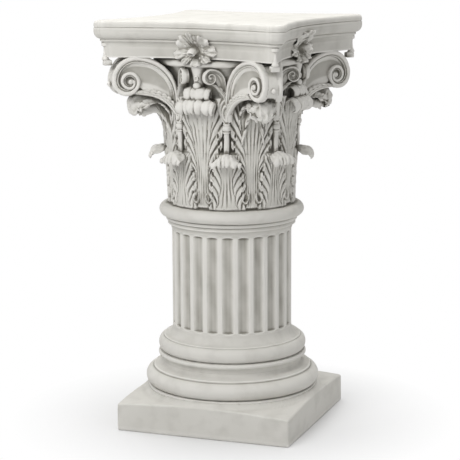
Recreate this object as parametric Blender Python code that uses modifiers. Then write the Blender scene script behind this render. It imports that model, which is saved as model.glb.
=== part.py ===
"""Corinthian display pedestal, cast in one piece.

A square plinth carries a moulded round base, a short fluted shaft and a tall leaf capital under a
square slab with hollowed sides. Lengths are metres, +Z is up, and the origin is the centre of the
plinth's underside. The slab's wide front side faces -Y.
"""
import math
from typing import NamedTuple

import bmesh
import bpy
import numpy as np

# Plinth
PLINTH_WIDTH = 0.270
PLINTH_HEIGHT = 0.041
PLINTH_EDGE = 0.003
PLINTH_SIDE_RISE = 0.005
PLINTH_MIDDLE_RISE = 0.004
PLINTH_TURN = math.radians(6.5)

# Base, from the plinth up
FOOT_BAND = 0.0056
FOOT_BAND_RADIUS = 0.1280
LOWER_TORUS_RADIUS = 0.1316
LOWER_TORUS_HEIGHT = 0.0256
LOWER_BAND_RADIUS = 0.1195
LOWER_BAND = 0.0040
SCOTIA_RADIUS = 0.1055
SCOTIA_HEIGHT = 0.0155
UPPER_BAND_RADIUS = 0.1085
UPPER_BAND = 0.0070
UPPER_TORUS_RADIUS = 0.1120
UPPER_TORUS_HEIGHT = 0.0215
SWEEP_RADIUS = 0.1040
SWEEP_HEIGHT = 0.0175

# Shaft and necking
SHAFT_RADIUS = 0.0903
SHAFT_LENGTH = 0.1485
FLUTES = 24
FLUTE_WIDTH = 0.0168
FLUTE_DEPTH = 0.0045
FLUTE_MARGIN = 0.0012
NECK_BAND = 0.0140
NECK_BAND_RADIUS = 0.0945
NECK_FILLET = 0.0060
NECK_FILLET_RADIUS = 0.0990
ASTRAGAL_RADIUS = 0.1090
ASTRAGAL_HEIGHT = 0.0190

# Bell of the capital
BELL_HEIGHT = 0.2223
BELL_RADIUS = 0.0880
BELL_NECK_RADIUS = 0.0895
BELL_FLARE_RADIUS = 0.1040
BELL_LIP_RADIUS = 0.1150
BELL_LIP_DROP = 0.0060
BELL_LIP_HEIGHT = 0.0085

# Slab on top
ABACUS_HEIGHT = 0.0535
ABACUS_REACH = 0.2058
ABACUS_CORNER = 0.0125
ABACUS_DIP = 0.0280
FASCIA_INSET = 0.0195
FASCIA_HEIGHT = 0.0165
HOLLOW_INSET = 0.0108
HOLLOW_HEIGHT = 0.0070
FILLET_HEIGHT = 0.0035
TOP_INSET = 0.0043
OVOLO_DROP = 0.0065
OVOLO_INSET = 0.0040

# Leaves
LOWER_LEAVES = 8
LEAF_STAND = 0.0015
LEAF_FOOT_SINK = 0.0050
LEAF_RIDGE = 0.0060
LEAF_RIB = 0.0012
LEAF_SCALLOP = 0.10
LEAF_FRONT_COLUMNS = 7
LEAF_ROWS = (0.0, 0.17, 0.33, 0.50, 0.67, 0.84, 1.0)
LOWER_TIP_REACH = 0.1210
LOWER_TIP_TOP = 0.0880
UPPER_TIP_REACH = 0.1225
UPPER_TIP_TOP = 0.1620
CORNER_TIP_REACH = 0.1600
CORNER_TIP_TOP = 0.1700
CURL_TIP_REACH = 0.1160
CURL_TIP_TOP = 0.1810

# Scrolls
STALK_RADIUS_OUT = 0.1000
VOLUTE_FRONT_WIDTH = 0.0190
VALLEY_SLOPE = 0.6
VOLUTE_RIM = 0.0085
VOLUTE_RIM_RAISE = 0.0030
VOLUTE_ARCH = 0.0618
VOLUTE_COIL = 0.0360
VOLUTE_START = 0.1316
HELIX_RADIUS_OUT = 0.1150
HELIX_ANGLE = math.radians(10.65)
HELIX_THICKNESS = 0.0080
HELIX_ROOT_THICKNESS = 0.0180
HELIX_RIM = 0.0048
HELIX_RIM_RAISE = 0.0020
HELIX_ARCH = 0.0232
HELIX_COIL = 0.0125
HELIX_START = 0.1360
RIM_OVERHANG = 0.0010

# Stems, buttons, flowers and corner drops
STEM_RADIUS = 0.0040
STEM_START = 0.0830
STEM_LENGTH = 0.0360
STEM_BEAD_RADIUS = 0.0068
STEM_BEAD = 0.0090
CALYX_RADIUS = 0.0095
CALYX_HEIGHT = 0.0200
FLOWER_SIDE = 0.0315
FLOWER_RISE = 0.0235
FLOWER_PETALS = 8
FLOWER_STAND = 0.0080
FLOWER_LEAN = 0.0140
FLOWER_DROP = 0.0415
PISTIL_RADIUS = 0.0056
PISTIL_LENGTH = 0.0120
TRUMPET_TOP_RADIUS = 0.0125
TRUMPET_FOOT_RADIUS = 0.0085
TRUMPET_HEIGHT = 0.0500
DROP_RADIUS = 0.0060
DROP_LENGTH = 0.0400

# Facets
ROUND_STEPS = 40
BELL_STEPS = 24
OUTLINE_POINTS = 12
SIDE_POINTS = 8
SMALL_STEPS = 6
CUTTER_STEPS = 12
PATH_SAMPLES = 600
MERGE_DISTANCE = 0.00005
PLANAR_ANGLE = math.radians(0.1)
KEPT_TRIANGLES = 9800
SMOOTH_ANGLE = math.radians(35)

# Heights of the parts above one another
BASE_FOOT = PLINTH_HEIGHT + PLINTH_SIDE_RISE + PLINTH_MIDDLE_RISE
FOOT_BAND_TOP = BASE_FOOT + FOOT_BAND
LOWER_TORUS_TOP = FOOT_BAND_TOP + LOWER_TORUS_HEIGHT
LOWER_BAND_TOP = LOWER_TORUS_TOP + LOWER_BAND
SCOTIA_TOP = LOWER_BAND_TOP + SCOTIA_HEIGHT
UPPER_BAND_TOP = SCOTIA_TOP + UPPER_BAND
UPPER_TORUS_TOP = UPPER_BAND_TOP + UPPER_TORUS_HEIGHT
SHAFT_FOOT = UPPER_TORUS_TOP + SWEEP_HEIGHT
SHAFT_TOP = SHAFT_FOOT + SHAFT_LENGTH
NECK_TOP = SHAFT_TOP + NECK_BAND
NECK_FILLET_TOP = NECK_TOP + NECK_FILLET
BELL_FOOT = NECK_FILLET_TOP + ASTRAGAL_HEIGHT
BELL_TOP = BELL_FOOT + BELL_HEIGHT
HEIGHT = BELL_TOP + ABACUS_HEIGHT

FACES = [math.radians(90 * k - 90) for k in range(4)]
CORNERS = [math.radians(90 * k - 45) for k in range(4)]
LEAF_PITCH = math.tau / LOWER_LEAVES


class Leaf(NamedTuple):
    """One kind of leaf: where its tip reaches, how it curls and how wide it is along its length."""

    tip_reach: float
    tip_top: float
    over_radius: float
    over_run: float
    under_turn: float
    under_radius: float
    foot: float
    widths: tuple
    root_thickness: float
    tip_thickness: float
    crown: float
    lobes: int
    notch: float


class Scroll(NamedTuple):
    """One kind of scroll: where it starts, the radii that it turns by and its rim."""

    start: float
    straight: float
    radii: tuple
    rim: float
    rim_raise: float


LOWER_LEAF = Leaf(
    tip_reach=LOWER_TIP_REACH, tip_top=LOWER_TIP_TOP, over_radius=0.0110, over_run=0.0050, under_turn=65.0,
    under_radius=0.0110, foot=0.0, widths=(0.0275, 0.0290, 0.0225, 0.0195, 0.0205),
    root_thickness=0.0120, tip_thickness=0.0050, crown=0.0110, lobes=5, notch=0.0040)
UPPER_LEAF = Leaf(
    tip_reach=UPPER_TIP_REACH, tip_top=UPPER_TIP_TOP, over_radius=0.0105, over_run=0.0, under_turn=140.0,
    under_radius=0.0100, foot=0.0, widths=(0.0110, 0.0150, 0.0270, 0.0320, 0.0300),
    root_thickness=0.0130, tip_thickness=0.0055, crown=0.0020, lobes=5, notch=0.0030)
CORNER_LEAF = Leaf(
    tip_reach=CORNER_TIP_REACH, tip_top=CORNER_TIP_TOP, over_radius=0.0300, over_run=0.0140, under_turn=115.0,
    under_radius=0.0160, foot=0.0, widths=(0.0110, 0.0150, 0.0260, 0.0260, 0.0200),
    root_thickness=0.0130, tip_thickness=0.0065, crown=0.0170, lobes=5, notch=0.0050)
CURL_LEAF = Leaf(
    tip_reach=CURL_TIP_REACH, tip_top=CURL_TIP_TOP, over_radius=0.0095, over_run=0.0, under_turn=130.0,
    under_radius=0.0085, foot=0.1400, widths=(0.0120, 0.0140, 0.0180, 0.0215, 0.0200),
    root_thickness=0.0200, tip_thickness=0.0055, crown=0.0010, lobes=3, notch=0.0030)

VOLUTE = Scroll(
    start=VOLUTE_START, straight=0.0305, rim=VOLUTE_RIM, rim_raise=VOLUTE_RIM_RAISE,
    radii=(VOLUTE_ARCH, VOLUTE_COIL, 0.0240, 0.0225, 0.0155, 0.0130))
HELIX = Scroll(
    start=HELIX_START, straight=0.0500, rim=HELIX_RIM, rim_raise=HELIX_RIM_RAISE,
    radii=(HELIX_ARCH, HELIX_COIL, 0.0105, 0.0090))


def clear_scene():
    """Remove every object that the file starts with."""
    for item in list(bpy.data.objects):
        bpy.data.objects.remove(item, do_unlink=True)


def new_collection(name):
    """Make a collection in the scene."""
    collection = bpy.data.collections.new(name)
    bpy.context.scene.collection.children.link(collection)
    return collection


def stone_material():
    """Pale warm grey cast stone, matt."""
    material = bpy.data.materials.new("antique_stone")
    material.use_nodes = True
    shader = material.node_tree.nodes["Principled BSDF"]
    shader.inputs["Base Color"].default_value = (0.58, 0.57, 0.53, 1.0)
    shader.inputs["Roughness"].default_value = 0.75
    shader.inputs["Metallic"].default_value = 0.0
    return material


def add_object(mesh, name, collection, turn=0.0, hidden=True):
    """Put a mesh into a collection, turned about the column's axis."""
    item = bpy.data.objects.new(name, mesh)
    item.rotation_euler.z = turn
    collection.objects.link(item)
    if hidden:
        item.hide_render = True
        item.display_type = "WIRE"
    return item


def mesh_from(bm, name):
    """Turn a bmesh into a mesh with its faces pointing out."""
    bmesh.ops.connect_verts_nonplanar(bm, faces=bm.faces, angle_limit=PLANAR_ANGLE)
    bmesh.ops.recalc_face_normals(bm, faces=bm.faces)
    mesh = bpy.data.meshes.new(name)
    bm.to_mesh(mesh)
    bm.free()
    return mesh


def loft(name, rings):
    """Close a solid over rings of equally many points, with a flat cap on each end."""
    rings = np.asarray(rings)
    rows, columns = rings.shape[:2]
    index = np.arange(rows * columns).reshape(rows, columns)
    ahead = np.roll(index, -1, axis=1)
    sides = np.stack([index[:-1], ahead[:-1], ahead[1:], index[1:]], axis=-1).reshape(-1, 4)
    faces = sides.tolist() + [index[0].tolist(), index[-1].tolist()]
    mesh = bpy.data.meshes.new(name)
    mesh.from_pydata(rings.reshape(-1, 3).tolist(), [], faces)
    bm = bmesh.new()
    bm.from_mesh(mesh)
    bpy.data.meshes.remove(mesh)
    return mesh_from(bm, name)


def drawn_path(start, runs, count):
    """Points and headings along a path that starts straight up.

    Each run is a length and the turn made over it, so it is a straight piece or a round arc.
    The path is a running sum of short steps along its heading. The places read are spread half by
    length and half by turn, so that a tight coil has as many points as a long arch.
    """
    lengths = np.array([run[0] for run in runs])
    turns = np.array([run[1] for run in runs])
    knots = np.concatenate([[0.0], np.cumsum(lengths)])
    heads = np.concatenate([[0.0], np.cumsum(turns)])
    along = np.linspace(0.0, knots[-1], PATH_SAMPLES)
    heading = np.interp(along, knots, heads)
    middle = 0.5 * (heading[1:] + heading[:-1])
    step = np.diff(along)
    out = start[0] + np.concatenate([[0.0], np.cumsum(np.sin(middle) * step)])
    up = start[1] + np.concatenate([[0.0], np.cumsum(np.cos(middle) * step)])
    spread = along / knots[-1] + heading / heads[-1]
    places = np.interp(np.linspace(0.0, spread[-1], count), spread, along)
    points = np.stack([np.interp(places, along, out), np.interp(places, along, up)], axis=-1)
    return points, np.interp(places, along, heading)


def arc(radius, degrees):
    """A round run of the given radius and turn."""
    turn = math.radians(degrees)
    return (radius * turn, turn)


def half_round(inner, outer, low, high, count):
    """A convex half-oval moulding from its top to its bottom."""
    angles = np.linspace(0.0, math.pi, count)
    middle = 0.5 * (low + high)
    return [(inner + (outer - inner) * math.sin(a), middle + (high - middle) * math.cos(a))
            for a in angles]


def bell_profile():
    """Outer side of the bell behind the leaves, from inside the slab down into the astragal."""
    lip = BELL_TOP - BELL_LIP_DROP
    under_lip = lip - BELL_LIP_HEIGHT
    waist = BELL_FOOT + BELL_HEIGHT / 2
    profile = [(0.0, BELL_TOP + FASCIA_HEIGHT / 2), (BELL_FLARE_RADIUS, BELL_TOP + FASCIA_HEIGHT / 2)]
    profile += half_round(BELL_FLARE_RADIUS, BELL_LIP_RADIUS, under_lip, lip, 4)
    for share in (0.30, 0.65):
        flare = BELL_NECK_RADIUS + (BELL_FLARE_RADIUS - BELL_NECK_RADIUS) * (1 - share) ** 2
        profile.append((flare, under_lip + (waist - under_lip) * share))
    profile += [(BELL_NECK_RADIUS, waist), (BELL_RADIUS, BELL_FOOT - LEAF_FOOT_SINK)]
    profile += [(0.0, BELL_FOOT - LEAF_FOOT_SINK)]
    return profile


def shaft_profile():
    """Outer side of the astragal, shaft and base, from the top down into the plinth."""
    profile = [(0.0, BELL_FOOT)]
    profile += half_round(NECK_FILLET_RADIUS, ASTRAGAL_RADIUS, NECK_FILLET_TOP, BELL_FOOT, 5)
    profile += [(NECK_FILLET_RADIUS, NECK_TOP), (NECK_BAND_RADIUS, NECK_TOP)]
    profile += [(SHAFT_RADIUS, SHAFT_TOP), (SHAFT_RADIUS, SHAFT_FOOT)]
    for angle in (math.pi / 4, math.pi / 2):
        profile.append((SWEEP_RADIUS - (SWEEP_RADIUS - SHAFT_RADIUS) * math.cos(angle),
                        SHAFT_FOOT - SWEEP_HEIGHT * math.sin(angle)))
    profile += half_round(SWEEP_RADIUS, UPPER_TORUS_RADIUS, UPPER_BAND_TOP, UPPER_TORUS_TOP, 5)[1:]
    profile += [(UPPER_BAND_RADIUS, UPPER_BAND_TOP), (UPPER_BAND_RADIUS, SCOTIA_TOP)]
    for angle in (math.pi / 4, math.pi / 2, 3 * math.pi / 4):
        edge = UPPER_BAND_RADIUS if angle < math.pi / 2 else LOWER_BAND_RADIUS
        profile.append((edge - (edge - SCOTIA_RADIUS) * math.sin(angle),
                        LOWER_BAND_TOP + SCOTIA_HEIGHT * 0.5 * (1 + math.cos(angle))))
    profile += [(LOWER_BAND_RADIUS, LOWER_BAND_TOP), (LOWER_BAND_RADIUS, LOWER_TORUS_TOP)]
    profile += half_round(LOWER_BAND_RADIUS, LOWER_TORUS_RADIUS, FOOT_BAND_TOP, LOWER_TORUS_TOP, 6)[1:-1]
    profile += [(FOOT_BAND_RADIUS, FOOT_BAND_TOP), (FOOT_BAND_RADIUS, PLINTH_HEIGHT / 2)]
    profile += [(0.0, PLINTH_HEIGHT / 2)]
    return profile


def turned(name, profile, steps, collection, hidden=True):
    """A turned solid from the outer side of its profile.

    Its edges start a quarter of a step off the side's middle, so none lies in a leaf's own plane.
    """
    mesh = bpy.data.meshes.new(name)
    start = math.tau / steps / 4
    line = [(radius * math.cos(start), radius * math.sin(start), height) for radius, height in profile]
    mesh.from_pydata(line, [(k, k + 1) for k in range(len(line) - 1)], [])
    item = add_object(mesh, name, collection, hidden=hidden)
    screw = item.modifiers.new("turn", "SCREW")
    screw.steps = steps
    screw.render_steps = steps
    screw.use_merge_vertices = True
    screw.merge_threshold = MERGE_DISTANCE
    return item


def flute_cutters(collection):
    """Round-bottomed cutters for the flutes, with a rib on the middle of each side."""
    half = FLUTE_WIDTH / 2
    radius = (half ** 2 + FLUTE_DEPTH ** 2) / (2 * FLUTE_DEPTH)
    out = SHAFT_RADIUS - FLUTE_DEPTH + radius
    bm = bmesh.new()
    for k in range(FLUTES):
        angle = math.tau * (k + 0.5) / FLUTES
        made = bmesh.ops.create_cone(bm, cap_ends=True, segments=CUTTER_STEPS, radius1=radius,
                                     radius2=radius, depth=SHAFT_LENGTH - 2 * FLUTE_MARGIN)
        shift = (out * math.cos(angle), out * math.sin(angle), (SHAFT_FOOT + SHAFT_TOP) / 2)
        bmesh.ops.translate(bm, verts=made["verts"], vec=shift)
    return add_object(mesh_from(bm, "flute_cutters"), "flute_cutters", collection)


def plinth(collection):
    """Square slab, its top raised a little along the sides and in the middle, turned on its axis."""
    half = PLINTH_WIDTH / 2
    bm = bmesh.new()
    bmesh.ops.create_cube(bm, size=1.0)
    bmesh.ops.subdivide_edges(bm, edges=bm.edges, cuts=3, use_grid_fill=True)
    for vert in bm.verts:
        across, deep, up = vert.co.x * 2, vert.co.y * 2, vert.co.z + 0.5
        rise = PLINTH_SIDE_RISE * (1 - (across * deep) ** 2)
        rise += PLINTH_MIDDLE_RISE * (1 - across ** 2) * (1 - deep ** 2)
        vert.co = (across * half, deep * half, up * (PLINTH_HEIGHT + rise))
    block = add_object(mesh_from(bm, "plinth_block"), "plinth_block", collection, PLINTH_TURN)
    bevel = block.modifiers.new("soft_edges", "BEVEL")
    bevel.width = PLINTH_EDGE
    bevel.segments = 1
    bevel.limit_method = "ANGLE"
    bevel.angle_limit = math.radians(50)


def abacus_ring(inset, height):
    """Outline of the slab at one inset: four hollowed sides with a cut corner between them."""
    reach = ABACUS_REACH - inset
    side = (ABACUS_REACH + ABACUS_CORNER) / math.sqrt(2) - inset
    end = reach * math.sqrt(2) - side
    across = np.linspace(-end, end, SIDE_POINTS)
    inward = side - ABACUS_DIP * (1 - (across / end) ** 2)
    points = []
    for turn in FACES:
        out, along = (math.cos(turn), math.sin(turn)), (-math.sin(turn), math.cos(turn))
        points += [(out[0] * d + along[0] * a, out[1] * d + along[1] * a, height)
                   for a, d in zip(across, inward)]
    return points


def abacus(collection):
    """The top slab: fascia, hollow, fillet and a heavy rounded edge."""
    hollow = BELL_TOP + FASCIA_HEIGHT
    fillet = hollow + HOLLOW_HEIGHT
    ovolo = fillet + FILLET_HEIGHT
    rings = [abacus_ring(FASCIA_INSET, BELL_TOP), abacus_ring(FASCIA_INSET, hollow),
             abacus_ring((FASCIA_INSET + 2 * HOLLOW_INSET) / 3, hollow + 0.6 * HOLLOW_HEIGHT),
             abacus_ring(HOLLOW_INSET, fillet), abacus_ring(HOLLOW_INSET, ovolo),
             abacus_ring(OVOLO_INSET, ovolo + 0.4 * OVOLO_DROP),
             abacus_ring(0.0, ovolo + 1.6 * OVOLO_DROP), abacus_ring(0.0, HEIGHT - OVOLO_DROP),
             abacus_ring(TOP_INSET / 4, HEIGHT - OVOLO_DROP / 3), abacus_ring(TOP_INSET, HEIGHT)]
    add_object(loft("abacus_slab", rings), "abacus_slab", collection)


def leaf_runs(leaf, rise, out):
    """Straight stem, a bend over the top, a level stretch and the turned-down tip, as path runs."""
    lean = math.atan2(out, rise)
    return [(math.hypot(rise, out) * 0.9, 0.0), (math.hypot(rise, out) * 0.1, lean),
            (leaf.over_radius * (math.pi / 2 - lean), math.pi / 2 - lean), (leaf.over_run, 0.0),
            arc(leaf.under_radius, leaf.under_turn)]


def leaf_mesh(name, leaf):
    """A leaf that climbs the bell, bends outwards and turns its lobed tip down.

    Each ring runs across the front from side to side and back across the rear. The middle line is
    drawn in the upright plane of the leaf, the width is wrapped round the column's axis, the sides
    of the tip droop by the crown, and the lobes lengthen and shorten the tip by the notch. Every
    second column stands out as a rib, and every second ring is drawn in as a scallop.
    """
    foot = BELL_FOOT + leaf.foot - LEAF_FOOT_SINK / 2
    start = BELL_NECK_RADIUS + LEAF_STAND
    top = BELL_FOOT + leaf.tip_top
    bend = leaf.tip_reach - leaf.under_radius - leaf.over_run - leaf.over_radius
    rise = top - leaf.over_radius - foot
    path = leaf_runs(leaf, rise, max(bend - start, 0.0))
    points, headings = drawn_path((start, foot), path, PATH_SAMPLES)
    share = np.linspace(0.0, 1.0, PATH_SAMPLES)
    length = sum(run[0] for run in path)
    rings = []
    for k, row in enumerate(LEAF_ROWS):
        width = np.interp(row, np.linspace(0.0, 1.0, len(leaf.widths)), leaf.widths)
        width *= 1.0 - LEAF_SCALLOP * (k % 2)
        thick = leaf.root_thickness + (leaf.tip_thickness - leaf.root_thickness) * row
        ring = []
        for side, columns in ((1.0, LEAF_FRONT_COLUMNS), (-1.0, 2 * leaf.lobes + 1)):
            across = np.linspace(-1.0, 1.0, columns)
            lobe = np.abs(np.sin(0.5 * math.pi * leaf.lobes * (across + 1.0)))
            place = row - leaf.notch / length * (1.0 - lobe) * row ** 4
            radius = np.interp(place, share, points[:, 0])
            height = np.interp(place, share, points[:, 1])
            heading = np.interp(place, share, headings)
            droop = leaf.crown * across ** 2 * row ** 2
            ridge = LEAF_RIDGE * (1.0 - np.abs(across)) * (1.0 - row)
            ridge += LEAF_RIB * (-1.0) ** np.arange(columns)
            offset = 0.3 * leaf.tip_thickness + (ridge if side > 0 else -thick)
            r = radius + offset * np.cos(heading)
            z = height - offset * np.sin(heading) - droop
            angle = across * width / (BELL_NECK_RADIUS + 0.5 * (radius - BELL_NECK_RADIUS))
            part = np.stack([r * np.cos(angle), r * np.sin(angle), z], axis=-1)
            ring.append(part if side > 0 else part[::-1])
        rings.append(np.concatenate(ring))
    return loft(name, rings)


def leaves(collection):
    """Two rows of eight leaves round the bell, and a small curled leaf over each face leaf."""
    kinds = [("lower_leaf", LOWER_LEAF, [math.radians(22.5) + LEAF_PITCH * k for k in range(8)]),
             ("face_leaf", UPPER_LEAF, FACES), ("corner_leaf", CORNER_LEAF, CORNERS),
             ("curl_leaf", CURL_LEAF, FACES)]
    for name, leaf, turns in kinds:
        mesh = leaf_mesh(name, leaf)
        for k, turn in enumerate(turns):
            add_object(mesh, f"{name}_{k}", collection, turn)


def scroll_outline(scroll):
    """Outer edge of a scroll's plate, from its foot over the top to the side of its coil."""
    runs = [(scroll.straight, 0.0)] + [arc(radius, 90.0) for radius in scroll.radii]
    one_turn = runs[:5]
    return runs, drawn_path((0.0, BELL_FOOT + scroll.start), one_turn, OUTLINE_POINTS)


def upright_plane(points, offset, origin, lean, side):
    """Place flat points, with an offset from their plane, on an upright plane beside the bell."""
    along, up = points[:, 0], points[:, 1]
    x = origin[0] + along * math.cos(lean) + offset * math.sin(lean)
    y = origin[1] - along * math.sin(lean) + offset * math.cos(lean)
    return np.stack([x, side * y, up], axis=-1)


def scroll_plate(scroll):
    """Flat outline of a scroll: its outer edge, then the short way back under the coil."""
    edge, headings = scroll_outline(scroll)[1]
    inward = np.stack([np.cos(headings), -np.sin(headings)], axis=-1)
    edge = edge + inward * RIM_OVERHANG
    coil = edge[-1]
    foot = edge[0] + (scroll.rim, 0.0)
    share = np.array([0.33, 0.67, 1.0])[:, None]
    bow = np.array([0.0, 0.35]) * (coil[1] - foot[1]) * np.sin(math.pi * share)
    return np.concatenate([edge, coil + (foot - coil) * share + bow])


def scroll_rim(name, scroll, origin, lean, side):
    """The raised rim that follows a scroll's edge and winds in on it, getting narrower."""
    runs = scroll_outline(scroll)[0]
    count = 2 * len(scroll.radii) + 2
    middle, headings = drawn_path((0.0, BELL_FOOT + scroll.start), runs, count)
    inward = np.stack([np.cos(headings), -np.sin(headings)], axis=-1)
    width = np.linspace(scroll.rim, scroll.rim * 0.5, count)[:, None]
    rings = []
    for across, raised in ((0.0, -1.0), (0.45, 1.0), (1.0, -1.0)):
        line = middle + inward * width * across
        rings.append(upright_plane(line, raised * scroll.rim_raise, origin, lean, side))
    return loft(name, np.swapaxes(np.array(rings), 0, 1))


def volute_pair(flat, origin, lean):
    """One block between the two corner scrolls, with a valley where they part towards the bell."""
    left = upright_plane(flat, 0.0, origin, lean, 1)
    right = upright_plane(flat, 0.0, origin, lean, -1)
    middle = 0.5 * (left + right)
    parted = np.clip(left[:, 1] - VOLUTE_FRONT_WIDTH / 2, 0.0, None)
    arch = np.arange(len(flat)) < OUTLINE_POINTS
    middle[:, 2] -= np.where(arch, VALLEY_SLOPE * parted, 0.0)
    return loft("volute_pair", [left, middle, right])


def helix_plate(flat, origin, lean, side):
    """The plate behind a small scroll, thicker towards the bell."""
    depth = np.interp(flat[:, 0], [0.0, flat[:, 0].max()], [HELIX_ROOT_THICKNESS, HELIX_THICKNESS])
    return loft("helix_plate", [upright_plane(flat, 0.0, origin, lean, side),
                                upright_plane(flat, -depth, origin, lean, side)])


def scroll_reach(scroll):
    """How far a scroll stands out from its foot."""
    return scroll_outline(scroll)[1][0][:, 0].max()


def scrolls(collection):
    """Corner scrolls in pairs, and the small pair that meets over the middle of each side."""
    stem = LEAF_PITCH / 2
    origin = (STALK_RADIUS_OUT * math.cos(stem), STALK_RADIUS_OUT * math.sin(stem))
    corner_lean = math.asin((origin[1] - VOLUTE_FRONT_WIDTH / 2) / scroll_reach(VOLUTE))
    eye = (HELIX_RADIUS_OUT * math.cos(HELIX_ANGLE), HELIX_RADIUS_OUT * math.sin(HELIX_ANGLE))
    helix_lean = math.atan2(origin[1] - eye[1], eye[0] - origin[0])
    for k, turn in enumerate(CORNERS):
        pair = volute_pair(scroll_plate(VOLUTE), origin, corner_lean)
        add_object(pair, f"volute_pair_{k}", collection, turn)
    for side in (1, -1):
        volute_rim = scroll_rim("volute_rim", VOLUTE, origin, corner_lean, side)
        helix_rim = scroll_rim("helix_rim", HELIX, origin, helix_lean, side)
        plate = helix_plate(scroll_plate(HELIX), origin, helix_lean, side)
        for k in range(4):
            add_object(volute_rim, f"volute_rim_{side}_{k}", collection, CORNERS[k])
            add_object(helix_rim, f"helix_rim_{side}_{k}", collection, FACES[k])
            add_object(plate, f"helix_plate_{side}_{k}", collection, FACES[k])


def turned_rings(profile, out, steps=SMALL_STEPS):
    """Rings of an upright turned solid that stands a distance out from the column's axis."""
    angles = np.linspace(0.0, math.tau, steps, endpoint=False) + math.tau / steps / 4
    return [np.stack([out + radius * np.cos(angles), radius * np.sin(angles),
                      np.full(steps, height)], axis=-1) for radius, height in profile]


def stems(collection):
    """A stem with a bead and a flaring calyx between each two upper leaves."""
    low = BELL_FOOT + STEM_START
    bead = low + STEM_LENGTH
    cup = bead + STEM_BEAD
    profile = [(STEM_RADIUS * 0.7, low), (STEM_RADIUS, bead), (STEM_BEAD_RADIUS, bead + 0.25 * STEM_BEAD),
               (STEM_BEAD_RADIUS, bead + 0.75 * STEM_BEAD), (STEM_RADIUS * 1.2, cup),
               (CALYX_RADIUS, cup + CALYX_HEIGHT * 0.6), (CALYX_RADIUS * 0.8, cup + CALYX_HEIGHT)]
    mesh = loft("stem", turned_rings(profile, STALK_RADIUS_OUT - STEM_RADIUS / 2))
    for k in range(LOWER_LEAVES):
        add_object(mesh, f"stem_{k}", collection, LEAF_PITCH * (k + 0.5))


def trumpets(collection):
    """A stalk that opens upwards from the small curled leaf to the lip of the bell."""
    top = BELL_TOP - BELL_LIP_DROP
    profile = [(TRUMPET_FOOT_RADIUS, top - TRUMPET_HEIGHT), (TRUMPET_FOOT_RADIUS, top - 0.5 * TRUMPET_HEIGHT),
               (TRUMPET_TOP_RADIUS, top)]
    mesh = loft("trumpet", turned_rings(profile, BELL_FLARE_RADIUS - TRUMPET_FOOT_RADIUS))
    for k, turn in enumerate(FACES):
        add_object(mesh, f"trumpet_{k}", collection, turn)


def flowers(collection):
    """A ruffled flower with a tube in its middle on each hollowed side of the slab.

    It is an oval, wider than it is tall, that leans out at its top over the edge of the slab.
    """
    steps = 2 * FLOWER_PETALS
    angles = np.linspace(0.0, math.tau, steps, endpoint=False) + math.tau / steps / 4
    across, rise = np.cos(angles), np.sin(angles)
    height = HEIGHT - FLOWER_DROP
    face = (ABACUS_REACH + ABACUS_CORNER) / math.sqrt(2) - ABACUS_DIP
    rim = face + FLOWER_STAND
    heart = rim - 0.5 * (FLOWER_STAND + FLOWER_LEAN)
    shape = [(face - FASCIA_INSET - FLOWER_STAND / 2, 0.50, 0.0, 0.0),
             (rim - FLOWER_STAND, 0.80, 0.04, FLOWER_LEAN), (rim, 1.0, 0.12, FLOWER_LEAN),
             (heart, 0.40, 0.0, 0.0)]
    rings = []
    for out, size, ruffle, lean in shape:
        share = size * (1.0 + ruffle * (-1.0) ** np.arange(steps))
        rings.append(np.stack([out - lean * 0.5 * (1.0 - rise), FLOWER_SIDE * share * across,
                               height + FLOWER_RISE * share * rise], axis=-1))
    for out in (heart, heart + PISTIL_LENGTH):
        rings.append(np.stack([np.full(steps, out), PISTIL_RADIUS * across,
                               height + PISTIL_RADIUS * rise], axis=-1))
    mesh = loft("flower", rings)
    for k, turn in enumerate(FACES):
        add_object(mesh, f"flower_{k}", collection, turn)


def corner_drops(collection):
    """A slim post with a cap and a stout foot under each corner of the slab, down to the scrolls."""
    top = BELL_TOP + FASCIA_HEIGHT + HOLLOW_HEIGHT
    out = ABACUS_REACH - FASCIA_INSET + DROP_RADIUS / 2
    shape = [(0.9, 0.0), (0.9, 0.12), (0.6, 0.20), (0.6, 0.55), (1.0, 0.68), (1.0, 0.88), (0.6, 1.0)]
    profile = [(DROP_RADIUS * wide, top - DROP_LENGTH * down) for wide, down in shape]
    mesh = loft("corner_drop", turned_rings(profile, out))
    for k, turn in enumerate(CORNERS):
        add_object(mesh, f"corner_drop_{k}", collection, turn)


def join_all(core, cutters, carvings):
    """Cut the flutes and weld every carving on to the turned core.

    The exact solver leaves open edges where the leaves cross the bell, so the weld uses the other.
    """
    cut = core.modifiers.new("flutes", "BOOLEAN")
    cut.operation = "DIFFERENCE"
    cut.solver = "EXACT"
    cut.object = cutters
    weld = core.modifiers.new("carvings", "BOOLEAN")
    weld.operation = "UNION"
    weld.solver = "MANIFOLD"
    weld.operand_type = "COLLECTION"
    weld.collection = carvings


def islands(bm):
    """Groups of faces that hang together."""
    left = set(bm.faces)
    while left:
        group = {left.pop()}
        edge = list(group)
        while edge:
            near = {face for side in edge.pop().edges for face in side.link_faces} - group
            group |= near
            edge += near
        left -= group
        yield group


def enclosed_volume(faces):
    """Signed volume inside a closed group of faces, negative for a hollow in the stone."""
    total = 0.0
    for face in faces:
        first = face.verts[0].co
        for one, two in zip(face.verts[1:], face.verts[2:]):
            total += first.dot(one.co.cross(two.co)) / 6
    return total


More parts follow.
